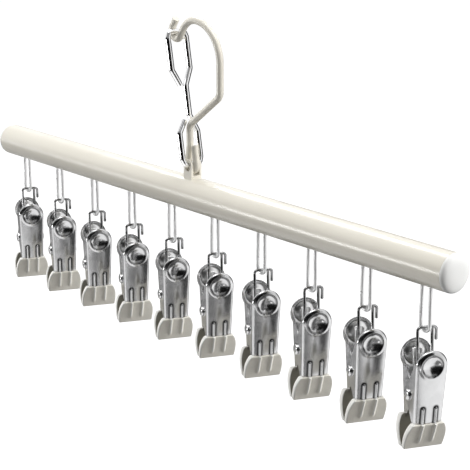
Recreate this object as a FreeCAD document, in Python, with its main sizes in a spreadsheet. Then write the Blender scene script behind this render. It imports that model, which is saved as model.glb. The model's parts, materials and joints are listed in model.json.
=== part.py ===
"""Skirt hanger: a capped tube under a wire hook, with ten sprung clips on wire loops.

Millimetres and degrees. +X runs along the tube, +Z is up. The origin is where the
bow of the hook sits on a rail, straight above the pivot bar of the hook.
"""
import FreeCAD, Part
import math
import os
import Sketcher

# Driving dimensions: alias, value or formula, what it measures
SIZES = [
    ("clip_count", 10, "clips along the tube"),
    ("overrun", 1, "how far a cut runs past what it cuts"),
    # Tube and its end caps
    ("tube_length", 380, "tube without its caps"),
    ("clip_margin", 15.4, "middle of an outer clip from the end of the tube"),
    ("clip_pitch", "=(tube_length - 2 * clip_margin) / (clip_count - 1)", "spacing of the clips"),
    ("tube_diameter", 19, "outside of the tube"),
    ("tube_wall", 1.2, "wall of the tube"),
    ("cap_lip", 0.8, "straight edge of a cap"),
    ("cap_rise", 3, "height of the dome of a cap"),
    ("cap_plug_length", 9, "plug of a cap inside the tube"),
    ("cap_plug_wall", 1.4, "wall of that plug"),
    ("cap_fit", 0.05, "gap round that plug"),
    # Lug that joins the tube to the hook
    ("bar_height", 7.4, "pivot bar above the top of the tube"),
    ("lug_length", 7, "lug along the tube"),
    ("lug_ear", 1.3, "thickness of one ear"),
    ("lug_top", 3, "top of an ear above the pivot bar"),
    ("lug_floor_gap", 0.4, "gap under the eye of the hook"),
    ("lug_side_gap", 0.25, "gap beside the eye of the hook"),
    ("lug_hole_width", 4.4, "width of the oval hole"),
    ("lug_hole_height", 5.3, "height of the oval hole"),
    ("stud_diameter", 4, "stud under the lug"),
    ("stud_fit", 0.05, "gap round the stud"),
    ("stud_tail", 1, "stud past its nut"),
    ("washer_size", 9, "saddle washer, along and across"),
    ("washer_thickness", 1.6, "saddle washer under the wall of the tube"),
    ("nut_width", 7.6, "nut across its corners"),
    ("nut_height", 3.2, "height of the nut"),
    # Hook, placed from the pivot bar
    ("hook_wire", 3.9, "wire of the hook"),
    ("pivot_fit", 0.1, "gap between the pivot bar and what turns on it"),
    ("eye_lean", 9, "lean of both sides of the eye"),
    ("eye_return", 10.7, "height of the returned end of the eye"),
    ("neck_height", 10.4, "where the shank turns upright"),
    ("neck_bend", 12, "bend radius there"),
    ("shank_height", 21.6, "where the shank turns to the side"),
    ("shank_bend", 5, "bend radius there"),
    ("bow_reach", 24.2, "upright side of the bow from the pivot bar"),
    ("elbow_height", 40.8, "where the side run turns upright"),
    ("elbow_bend", 5.5, "bend radius there"),
    ("shoulder_height", 58, "where the bow starts to curve"),
    ("bow_side_radius", 21.2, "first curve of the bow"),
    ("bow_side_turn", 88, "angle of that curve"),
    ("bow_top_radius", 12.5, "second curve of the bow"),
    ("valley_rise", 13.7776, "latch bar in the valley above the start of the bow"),
    ("valley_reach", 13.3032, "latch bar in the valley to the side of the pivot bar"),
    ("valley_room", 0.5, "room round the latch bar in the valley"),
    ("tip_heading", 57, "direction of the upturned tip, from +X"),
    ("tip_length", 5.5, "straight end of the tip"),
    # Latch, placed from the pivot bar along its own leaning plane
    ("latch_wire", 3.2, "wire of the latch"),
    ("latch_lean", "=atan(valley_reach / (shoulder_height + valley_rise))", "lean away from the bow"),
    ("latch_length", "=sqrt(valley_reach^2 + (shoulder_height + valley_rise)^2)", "pivot bar to top bar"),
    ("latch_rest", 0.1, "gap between the top bar and the tip it leans on"),
    ("latch_width", 12.4, "spacing of the rails"),
    ("latch_bar_width", 9.6, "straight cross bars"),
    ("latch_corner", 3.4, "height of a cut corner"),
    ("latch_bend", 2, "bend radius"),
    ("lower_rail_top", 17.8, "top of the lower rails"),
    ("lower_peak", 27, "peak of the lower loop"),
    ("lower_end_height", 24.4, "cut end of the lower loop"),
    ("upper_foot", 43.5, "foot of the upper loop"),
    ("upper_rail_foot", 52.4, "foot of the upper rails"),
    ("upper_end_height", 43.9, "cut end of the upper loop"),
    ("waist_offset", 2, "waist from the middle of the latch"),
    ("end_offset", 1.7, "cut ends from the middle of the latch"),
    # Wire loops under the tube
    ("loop_wire", 1.8, "wire of a loop"),
    ("loop_drop", 23.5, "loop below the tube"),
    ("loop_root_width", 5.1, "strands at the tube, centre to centre"),
    ("loop_foot_width", 5.8, "strands at the bottom, centre to centre"),
    ("loop_toe", 3.2, "turned end of a strand inside the tube"),
    ("loop_toe_bend", 1.2, "bend radius of that end"),
    ("loop_hole_fit", 0.1, "gap round a strand in the wall of the tube"),
    # Clips, placed from the rivet
    ("clip_yaw", 23, "turn of every clip about its loop"),
    ("sheet_gauge", 0.8, "sheet of the legs"),
    ("leg_depth", 9, "outer face of a leg from the rivet"),
    ("leg_tilt", 4.5, "lean of a leg from upright"),
    ("handle_rise", 25, "top of a handle above the rivet"),
    ("handle_radius", 8, "round top of a handle"),
    ("leg_foot_width", 14.2, "leg where its grip starts"),
    ("leg_drop", 12, "that place below the rivet"),
    ("flange_clearance", 0.3, "gap between the flanges of the two legs"),
    ("flange_rim", 1.7, "flange round the handle"),
    ("flange_start", 20, "where the flange widens, above the rivet"),
    ("flange_foot", 4, "flange where the grip starts"),
    ("ear_reach", 4.2, "flange past the rivet"),
    ("ear_height", 6, "straight edge of the flange beside the rivet"),
    ("dish_width", 11.2, "thumb dish across"),
    ("dish_depth", 2, "depth of the thumb dish"),
    ("dish_drop", 7.6, "middle of the dish below the handle's top"),
    ("rib_spacing", 6.6, "spacing of the two pressed ribs"),
    ("rib_width", 1.8, "width of a rib"),
    ("rib_height", 0.7, "height of a rib"),
    ("rib_length", 9, "rib above the grip, and again on it"),
    ("rib_nose", 1.8, "sloping end of a rib"),
    ("jaw_angle", 18, "inward turn of the jaws"),
    ("tongue_length", 11.3, "leg inside its grip"),
    ("grip_skin", 0.9, "rubber outside the leg"),
    ("grip_height", 14.7, "height of a grip"),
    ("grip_width", 20.8, "widest part of a grip"),
    ("grip_thickness", 3.6, "grip at its top"),
    ("jaw_gap", 0.3, "gap between the tips of the two grips"),
    # Rivet, bail and spring of a clip
    ("rivet_diameter", 3, "shank of the rivet"),
    ("rivet_fit", 0.05, "gap round the rivet"),
    ("rivet_head", 5.6, "head of the rivet across"),
    ("rivet_head_height", 1.2, "height of a head"),
    ("rivet_head_round", 0.9, "rounding of a head"),
    ("bail_wire", 1.5, "wire of the bail"),
    ("bail_rise", 32.8, "bar of the bail above the rivet"),
    ("bail_width", 7.4, "legs of the bail, centre to centre"),
    ("bail_bend", 1.8, "bend radius of the bail"),
    ("bail_tail_offset", 2.2, "turned end outside its leg"),
    ("bail_tail_drop", 6.5, "length of the turned end"),
    ("bail_toe", 1, "hooked end of a leg behind the rivet"),
    ("bail_seat", 0.15, "gap between the bail and its loop"),
    ("spring_wire", 0.9, "wire of the spring"),
    ("spring_radius", 2.4, "middle of the wire from the rivet's axis"),
    ("spring_length", 4.9, "wound part along the rivet"),
]

# Outline of a grip from top to bottom: share of its height, share of its half width
GRIP_OUTLINE_SHARES = [(0, 0.79), (0.2, 0.95), (0.42, 1), (0.72, 0.985), (1, 0.925)]

CONTACT_TOLERANCE = 1e-6
QUARTER_TURN = math.pi / 2
FULL_TURN = 2 * math.pi

doc = FreeCAD.newDocument("skirt_hanger")
sheet = doc.addObject("Spreadsheet::Sheet", "sizes")
for row, (alias, number, meaning) in enumerate(SIZES, 1):
    sheet.set(f"A{row}", meaning)
    sheet.set(f"B{row}", str(number))
    sheet.setAlias(f"B{row}", alias)
doc.recompute()

NODES = []
UP = FreeCAD.Vector(0, 0, 1)
ACROSS = FreeCAD.Vector(0, 1, 0)


def value(expression):
    """Number that an expression on the sheet gives."""
    return float(sheet.evalExpression(expression))


def size(alias):
    """Number in one cell of the sheet."""
    return value(f"sizes.{alias}")


def bind(thing, bindings):
    """Tie properties of a document object to expressions on the sheet."""
    for path, expression in bindings.items():
        thing.setExpression(path, expression)
    return thing


def add(kind, name, bindings=None, **properties):
    """New document object with fixed properties and bound ones."""
    thing = doc.addObject(kind, name)
    for key, setting in properties.items():
        setattr(thing, key, setting)
    return bind(thing, bindings or {})


def node(thing, label):
    """Keep a finished sub-part under the label that names its file."""
    thing.Label = label
    NODES.append(thing)
    return thing


def turned(axis, angle=0):
    """Placement at the origin, turned about an axis."""
    return FreeCAD.Placement(FreeCAD.Vector(), FreeCAD.Rotation(axis, angle))


# Heights and places that several pieces share

BOW_TOP = (
    "(sizes.shoulder_height + sizes.bow_top_radius"
    " + (sizes.bow_side_radius - sizes.bow_top_radius) * sin(sizes.bow_side_turn))"
)
BAR_Z = f"-({BOW_TOP} - sizes.hook_wire / 2)"
TUBE_Z = f"({BAR_Z} - sizes.bar_height - sizes.tube_diameter / 2)"
BORE_RADIUS = "(sizes.tube_diameter / 2 - sizes.tube_wall)"
FIRST_CLIP_X = "(-(sizes.clip_count - 1) * sizes.clip_pitch / 2)"
LOOP_BOTTOM = "(sizes.tube_diameter / 2 + sizes.loop_drop - sizes.loop_wire / 2)"
BAIL_LIFT = "(sizes.loop_wire / 2 + sizes.bail_seat + sizes.bail_wire / 2)"
RIVET_Z = f"({TUBE_Z} - {LOOP_BOTTOM} + {BAIL_LIFT} - sizes.bail_rise)"
CLIP_COUNT = int(size("clip_count"))


# Sketches and features of the solid bodies

def origin_plane(body, role):
    """One of a body's own origin planes."""
    return next(item for item in body.Origin.OriginFeatures if item.Role == role)


def hold(sketch, kind, axis, edge, point, expression):
    """Fix one coordinate of a sketch point."""
    if expression == "0":
        sketch.addConstraint(Sketcher.Constraint("PointOnObject", edge, point, axis))
        return
    rule = Sketcher.Constraint(kind, -1, 1, edge, point, value(expression))
    index = sketch.addConstraint(rule)
    sketch.setExpression(f"Constraints[{index}]", expression)


def hold_point(sketch, edge, point, place):
    """Fix both coordinates of a sketch point."""
    hold(sketch, "DistanceX", -2, edge, point, place[0])
    hold(sketch, "DistanceY", -1, edge, point, place[1])


def add_polygon(sketch, corners):
    """Closed polygon whose corners are pairs of expressions."""
    first = sketch.GeometryCount
    places = [FreeCAD.Vector(value(across), value(up), 0) for across, up in corners]
    for start, end in zip(places, places[1:] + places[:1]):
        sketch.addGeometry(Part.LineSegment(start, end), False)
    for number, corner in enumerate(corners):
        before = first + (number - 1) % len(corners)
        sketch.addConstraint(Sketcher.Constraint("Coincident", before, 2, first + number, 1))
        hold_point(sketch, first + number, 1, corner)


def add_circle(sketch, centre, radius):
    """Circle whose centre and radius are expressions."""
    middle = FreeCAD.Vector(value(centre[0]), value(centre[1]), 0)
    edge = sketch.addGeometry(Part.Circle(middle, UP, value(radius)), False)
    index = sketch.addConstraint(Sketcher.Constraint("Radius", edge, value(radius)))
    sketch.setExpression(f"Constraints[{index}]", radius)
    hold_point(sketch, edge, 3, centre)


def draw(body, name, role, polygons=(), circles=(), offset=None):
    """Sketch on one of a body's origin planes, moved off it along its normal."""
    sketch = body.newObject("Sketcher::SketchObject", name)
    sketch.AttachmentSupport = [(origin_plane(body, role), "")]
    sketch.MapMode = "FlatFace"
    if offset:
        sketch.setExpression("AttachmentOffset.Base.z", offset)
    for corners in polygons:
        add_polygon(sketch, corners)
    for centre, radius in circles:
        add_circle(sketch, centre, radius)
    return sketch


def feature(body, kind, name, sketch, length=None, back=None, symmetric=False, flip=False):
    """Pad or Pocket from a sketch. With no length, a Pocket runs through everything."""
    step = body.newObject(f"PartDesign::{kind}", name)
    step.Profile = sketch
    step.Reversed = flip
    if symmetric:
        step.SideType = "Symmetric"
    if length is None:
        step.Type = "ThroughAll"
    else:
        step.setExpression("Length", length)
    if back is not None:
        step.SideType = "Two sides"
        step.setExpression("Length2", back)
    doc.recompute()
    return step


def new_body(name):
    """Empty solid body."""
    return doc.addObject("PartDesign::Body", name)


# Bent wires: a path of straight runs and tangent arcs, and a round section swept along it

def arc_between(start, corner, end):
    """Arc that touches both legs of a corner at start and end, equally far from it."""
    chord_middle = (start + end) / 2
    inward = corner - chord_middle
    half_chord = (end - start).Length / 2
    turn = 2 * math.atan2(inward.Length, half_chord)
    crown = chord_middle + inward.normalize() * (half_chord * math.tan(turn / 4))
    return Part.Arc(start, crown, end).toShape()


def rounded_path(points, radii):
    """Edges of a run of points in space whose inner corners have the given bend radii."""
    edges = []
    place = points[0]
    for before, corner, after, radius in zip(points, points[1:], points[2:], radii):
        heading_in = (corner - before).normalize()
        heading_out = (after - corner).normalize()
        setback = radius * math.tan(heading_in.getAngle(heading_out) / 2)
        start = corner - heading_in * setback
        end = corner + heading_out * setback
        edges += straight(place, start)
        edges.append(arc_between(start, corner, end))
        place = end
    return edges + straight(place, points[-1])


def straight(start, end):
    """Straight run, or nothing where its ends meet."""
    if (end - start).Length < CONTACT_TOLERANCE:
        return []
    return [Part.LineSegment(start, end).toShape()]


def arc_about(centre, radius, first_angle, last_angle):
    """Arc in the XZ plane about a centre, between two angles from +X towards +Z."""
    middle_angle = (first_angle + last_angle) / 2
    rim = [centre + heading(angle) * radius for angle in (first_angle, middle_angle, last_angle)]
    return Part.Arc(*rim).toShape()


def heading(angle):
    """Unit vector in the XZ plane at an angle in radians from +X towards +Z."""
    return FreeCAD.Vector(math.cos(angle), 0, math.sin(angle))


def swept_wire(name, edges, gauge):
    """Round wire of the gauge in one cell, swept along tangent edges."""
    wire = Part.Wire(edges)
    path = add("Part::Feature", f"{name}_path", Shape=wire)
    first = wire.OrderedEdges[0]
    start = wire.OrderedVertexes[0].Point
    tangent = first.tangentAt(first.getParameterByLength(0))
    ring = add("Part::Circle", f"{name}_section", {"Radius": f"sizes.{gauge} / 2"})
    ring.Placement = FreeCAD.Placement(start, FreeCAD.Rotation(UP, tangent))
    spine = [f"Edge{number}" for number in range(1, len(wire.Edges) + 1)]
    sweep = add("Part::Sweep", name, Sections=[ring], Spine=(path, spine), Solid=True)
    doc.recompute()
    expected = wire.Length * math.pi * (size(gauge) / 2) ** 2
    print(f"{name}: length {wire.Length:.1f}, volume {sweep.Shape.Volume / expected:.4f} of expected")
    return sweep


# Tube, caps and what fixes the lug in the tube

def make_tube():
    """Tube with a pair of holes for each loop and one for the stud of the lug."""
    body = new_body("tube_body")
    rims = [(("0", "0"), "sizes.tube_diameter / 2"), (("0", "0"), BORE_RADIUS)]
    ring = draw(body, "tube_ring", "YZ_Plane", circles=rims)
    feature(body, "Pad", "tube_pad", ring, "sizes.tube_length", symmetric=True)
    strand = "sizes.loop_wire / 2 + sizes.loop_hole_fit"
    half = "sizes.loop_root_width / 2"
    pair = [((f"{FIRST_CLIP_X} {side} {half}", "0"), strand) for side in "-+"]
    holes = draw(body, "strand_holes", "XY_Plane", circles=pair)
    cut = feature(body, "Pocket", "strand_cut", holes, "sizes.tube_diameter / 2 + sizes.overrun")
    pattern = body.newObject("PartDesign::LinearPattern", "strand_pattern")
    pattern.Originals = [cut]
    pattern.Direction = (origin_plane(body, "X_Axis"), [""])
    bind(pattern, {
        "Length": "(sizes.clip_count - 1) * sizes.clip_pitch",
        "Occurrences": "sizes.clip_count",
    })
    body.Tip = pattern
    doc.recompute()
    stud = draw(body, "stud_hole", "XY_Plane", circles=[(("0", "0"), STUD_HOLE)])
    feature(body, "Pocket", "stud_cut", stud, "sizes.tube_diameter / 2 + sizes.overrun", flip=True)
    bind(body, {"Placement.Base.z": TUBE_Z})
    return node(body, "tube")


STUD_HOLE = "(sizes.stud_diameter / 2 + sizes.stud_fit)"


def make_end_cap(label, side):
    """Domed cap whose hollow plug fills one end of the tube."""
    radius = "sizes.tube_diameter / 2"
    dome = f"(({radius})^2 + sizes.cap_rise^2) / (2 * sizes.cap_rise)"
    plug = f"{BORE_RADIUS} - sizes.cap_fit"
    ball = add("Part::Sphere", f"{label}_ball", {
        "Radius": dome,
        "Placement.Base.x": f"sizes.cap_lip + sizes.cap_rise - {dome}",
    })
    disc = add("Part::Cylinder", f"{label}_disc", {
        "Radius": radius,
        "Height": "sizes.cap_lip + sizes.cap_rise",
    }, Placement=turned(ACROSS, 90))
    stem = add("Part::Cylinder", f"{label}_stem", {
        "Radius": plug,
        "Height": "sizes.cap_plug_length",
    }, Placement=turned(ACROSS, -90))
    bore = add("Part::Cylinder", f"{label}_bore", {
        "Radius": f"{plug} - sizes.cap_plug_wall",
        "Height": "sizes.cap_plug_length",
    }, Placement=turned(ACROSS, -90))
    crown = add("Part::Common", f"{label}_crown", Base=ball, Tool=disc)
    collar = add("Part::Cut", f"{label}_collar", Base=stem, Tool=bore)
    cap = add("Part::Fuse", f"{label}_solid", Base=crown, Tool=collar)
    cap.Placement = turned(UP, 0 if side > 0 else 180)
    bind(cap, {
        "Placement.Base.x": f"{side} * sizes.tube_length / 2",
        "Placement.Base.z": TUBE_Z,
    })
    return node(cap, label)


EYE_RADIUS = "(sizes.latch_wire / 2 + sizes.pivot_fit + sizes.hook_wire / 2)"
LUG_FLOOR = f"(-{EYE_RADIUS} - sizes.hook_wire / 2 - sizes.lug_floor_gap)"


def make_lug():
    """Two-eared lug, saddled on the tube, with a stud through the tube's wall."""
    body = new_body("lug_body")
    half = "sizes.lug_length / 2"
    round_z = f"sizes.lug_top - {half}"
    foot_z = "-sizes.bar_height - sizes.tube_wall"
    slot = "(sizes.hook_wire / 2 + sizes.lug_side_gap)"
    width = f"2 * ({slot} + sizes.lug_ear)"
    block = [(f"-{half}", foot_z), (half, foot_z), (half, round_z), (f"-{half}", round_z)]
    feature(body, "Pad", "ear_pad", draw(body, "ear_block", "XZ_Plane", [block]), width, symmetric=True)
    crown = draw(body, "ear_crown", "XZ_Plane", circles=[(("0", round_z), half)])
    feature(body, "Pad", "crown_pad", crown, width, symmetric=True)
    gap_top = "sizes.lug_top + sizes.overrun"
    gap = [(f"-{slot}", LUG_FLOOR), (slot, LUG_FLOOR), (slot, gap_top), (f"-{slot}", gap_top)]
    feature(body, "Pocket", "gap_cut", draw(body, "ear_gap", "YZ_Plane", [gap]), symmetric=True)
    bore = "sizes.lug_hole_width / 2"
    high = f"(sizes.latch_wire / 2 + sizes.pivot_fit - {bore})"
    low = f"({high} - sizes.lug_hole_height + sizes.lug_hole_width)"
    for name, height in (("high", high), ("low", low)):
        ring = draw(body, f"hole_{name}", "XZ_Plane", circles=[(("0", height), bore)])
        feature(body, "Pocket", f"hole_{name}_cut", ring, symmetric=True)
    middle = [(f"-{bore}", low), (bore, low), (bore, high), (f"-{bore}", high)]
    feature(body, "Pocket", "hole_cut", draw(body, "hole_middle", "XZ_Plane", [middle]), symmetric=True)
    axis_z = "-sizes.bar_height - sizes.tube_diameter / 2"
    saddle = draw(body, "saddle", "YZ_Plane", circles=[(("0", axis_z), "sizes.tube_diameter / 2")])
    feature(body, "Pocket", "saddle_cut", saddle, symmetric=True)
    ring = draw(body, "stud", "XY_Plane", circles=[(("0", "0"), "sizes.stud_diameter / 2")],
                offset=LUG_FLOOR)
    stack = "sizes.tube_wall + sizes.washer_thickness + sizes.nut_height + sizes.stud_tail"
    feature(body, "Pad", "stud_pad", ring, f"sizes.bar_height + {LUG_FLOOR} + {stack}", flip=True)
    bind(body, {"Placement.Base.z": BAR_Z})
    return node(body, "hook_lug")


WASHER_FLAT = f"({BORE_RADIUS} - sizes.washer_thickness)"


def stud_drill(name, foot, height):
    """Cylinder that clears the stud."""
    return add("Part::Cylinder", name, {
        "Radius": STUD_HOLE,
        "Height": height,
        "Placement.Base.z": foot,
    })


def make_lug_washer():
    """Washer under the tube's wall, curved to the bore, flat below."""
    size_cell = "sizes.washer_size"
    block = add("Part::Box", "washer_block", {
        "Length": size_cell,
        "Width": size_cell,
        "Height": "sizes.washer_thickness",
        "Placement.Base.x": f"-{size_cell} / 2",
        "Placement.Base.y": f"-{size_cell} / 2",
        "Placement.Base.z": WASHER_FLAT,
    })
    bore = add("Part::Cylinder", "washer_bore", {
        "Radius": BORE_RADIUS,
        "Height": size_cell,
        "Placement.Base.x": f"-{size_cell} / 2",
    }, Placement=turned(ACROSS, 90))
    saddle = add("Part::Common", "washer_saddle", Base=block, Tool=bore)
    drill = stud_drill("washer_drill", WASHER_FLAT, "sizes.washer_thickness")
    washer = add("Part::Cut", "washer_solid", Base=saddle, Tool=drill)
    return node(bind(washer, {"Placement.Base.z": TUBE_Z}), "lug_washer")


def make_lug_nut():
    """Hexagon nut on the stud of the lug."""
    foot = f"{WASHER_FLAT} - sizes.nut_height"
    blank = add("Part::Prism", "nut_blank", {
        "Circumradius": "sizes.nut_width / 2",
        "Height": "sizes.nut_height",
        "Placement.Base.z": foot,
    }, Polygon=6)
    drill = stud_drill("nut_drill", foot, "sizes.nut_height")
    nut = add("Part::Cut", "nut_solid", Base=blank, Tool=drill)
    return node(bind(nut, {"Placement.Base.z": TUBE_Z}), "lug_nut")


# Hook and latch, both bent from one wire, placed from the pivot bar

def latch_point(across, along):
    """Point of the latch's leaning plane, from the pivot bar."""
    lean = math.radians(size("latch_lean"))
    return heading(QUARTER_TURN + lean) * along + ACROSS * across


def make_hook():
    """Eye on the pivot bar, shank, bow, valley for the latch and upturned tip."""
    eye = value(EYE_RADIUS)
    lean = math.radians(size("eye_lean"))
    corner = eye * math.tan((QUARTER_TURN + lean) / 2)
    reach = size("bow_reach")
    shoulder = size("shoulder_height")

    def side_of_eye(height):
        return (eye - height * math.sin(lean)) / math.cos(lean)

    neck = -side_of_eye(size("neck_height"))
    lower = [
        (side_of_eye(size("eye_return")), size("eye_return")),
        (corner, -eye),
        (-corner, -eye),
        (neck, size("neck_height")),
        (neck, size("shank_height")),
        (reach, size("elbow_height")),
        (reach, shoulder),
    ]
    points = [FreeCAD.Vector(along, 0, up) for along, up in lower]
    bends = [eye, eye, size("neck_bend"), size("shank_bend"), size("elbow_bend")]
    edges = rounded_path(points, bends)

    side_radius = size("bow_side_radius")
    side_turn = math.radians(size("bow_side_turn"))
    top_radius = size("bow_top_radius")
    side_centre = FreeCAD.Vector(reach - side_radius, 0, shoulder)
    top_centre = side_centre + heading(side_turn) * (side_radius - top_radius)
    valley_radius = value("(sizes.latch_wire + sizes.hook_wire) / 2 + sizes.valley_room")
    play = heading(math.radians(size("latch_lean"))) * value("sizes.valley_room - sizes.latch_rest")
    valley_centre = latch_point(0, size("latch_length")) + play
    span = valley_centre - top_centre
    slope = math.atan2(span.z, span.x) % FULL_TURN
    fall = slope + math.asin((top_radius + valley_radius) / span.Length)
    tip = math.radians(size("tip_heading"))
    edges.append(arc_about(side_centre, side_radius, 0, side_turn))
    edges.append(arc_about(top_centre, top_radius, side_turn, fall - QUARTER_TURN))
    fall_start = top_centre + heading(fall - QUARTER_TURN) * top_radius
    fall_end = valley_centre + heading(fall + QUARTER_TURN) * valley_radius
    edges += straight(fall_start, fall_end)
    edges.append(arc_about(valley_centre, valley_radius, fall + QUARTER_TURN, tip + QUARTER_TURN))
    tip_start = valley_centre + heading(tip + QUARTER_TURN) * valley_radius
    edges += straight(tip_start, tip_start + heading(tip) * size("tip_length"))
    hook = swept_wire("hook_wire_form", edges, "hook_wire")
    return node(bind(hook, {"Placement.Base.z": BAR_Z}), "hook")


def make_latch():
    """Wind latch: two open six-sided loops joined by an offset waist."""
    rail = size("latch_width") / 2
    bar = size("latch_bar_width") / 2
    top = size("latch_length")
    corner = size("latch_corner")
    waist = size("waist_offset")
    cut = -size("end_offset")
    places = [
        (cut, size("lower_end_height")),
        (-rail, size("lower_rail_top")),
        (-rail, corner),
        (-bar, 0),
        (bar, 0),
        (rail, corner),
        (rail, size("lower_rail_top")),
        (waist, size("lower_peak")),
        (waist, size("upper_foot")),
        (rail, size("upper_rail_foot")),
        (rail, top - corner),
        (bar, top),
        (-bar, top),
        (-rail, top - corner),
        (-rail, size("upper_rail_foot")),
        (cut, size("upper_end_height")),
    ]
    points = [latch_point(across, along) for across, along in places]
    edges = rounded_path(points, [size("latch_bend") for _ in points[1:-1]])
    latch = swept_wire("latch_wire_form", edges, "latch_wire")
    return node(bind(latch, {"Placement.Base.z": BAR_Z}), "wind_latch")


# Wire loops that carry the clips

def clip_x(number):
    """Place of one clip along the tube, counted from 1."""
    return f"{FIRST_CLIP_X} + {number - 1} * sizes.clip_pitch"


def copy_of(name, sources, bindings):
    """Copy of finished solids, placed by bound expressions."""
    return add("Part::Compound", name, bindings, Links=sources, Placement=turned(UP))


def make_loops():
    """Ten U-shaped loops whose turned ends lie inside the tube."""
    root = size("loop_root_width") / 2
    foot = size("loop_foot_width") / 2
    toe_z = -value(f"{BORE_RADIUS} - sizes.loop_toe_bend")
    toe = root + size("loop_toe")
    bottom = -value(LOOP_BOTTOM)
    spread = math.atan2(foot - root, toe_z - bottom)
    bottom_bend = foot / math.tan((QUARTER_TURN + spread) / 2)
    places = [(-toe, toe_z), (-root, toe_z), (-foot, bottom), (foot, bottom), (root, toe_z), (toe, toe_z)]
    points = [FreeCAD.Vector(along, 0, up) for along, up in places]
    toe_bend = size("loop_toe_bend")
    edges = rounded_path(points, [toe_bend, bottom_bend, bottom_bend, toe_bend])
    loop = swept_wire("loop_wire_form", edges, "loop_wire")
    loops = [
        copy_of(f"loop_{number:02d}", [loop], {
            "Placement.Base.x": clip_x(number),
            "Placement.Base.z": TUBE_Z,
        })
        for number in range(1, CLIP_COUNT + 1)
    ]
    return node(add("Part::Compound", "loop_set", Links=loops), "hanging_loops")


# Legs and grips of a clip, each in a frame with the rivet along Y and the outside at +X

FLANGE_SLOPE = (
    "((sizes.handle_radius - sizes.leg_foot_width / 2)"
    " / (sizes.handle_rise - sizes.handle_radius + sizes.leg_drop))"
)
REAR_INSET = "(sizes.sheet_gauge + sizes.flange_clearance)"
JAW_SLOPE = "tan(sizes.jaw_angle)"
RIB_OUTER = "(sizes.rib_spacing + sizes.rib_width)"
RIB_INNER = "(sizes.rib_spacing - sizes.rib_width)"
RIVET_HOLE = "(sizes.rivet_diameter / 2 + sizes.rivet_fit)"


def mirrored(outline):
    """Closed outline from its right half, top to bottom."""
    return outline + [(f"-({across})", up) for across, up in reversed(outline)]


def tongue_width(inset):
    """Width of the leg inside its grip."""
    return f"(sizes.leg_foot_width - 2 * {inset})"


def tongue_profile():
    """Side view of the tongue that runs from the leg into its grip."""
    outer = "sizes.leg_depth"
    inner = "(sizes.leg_depth - sizes.sheet_gauge)"
    top = "-sizes.leg_drop"
    tip_z = f"{top} - sizes.tongue_length"
    slant = f"{JAW_SLOPE} * sizes.tongue_length"
    return [(outer, top), (inner, top), (f"{inner} - {slant}", tip_z), (f"{outer} - {slant}", tip_z)]


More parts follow.
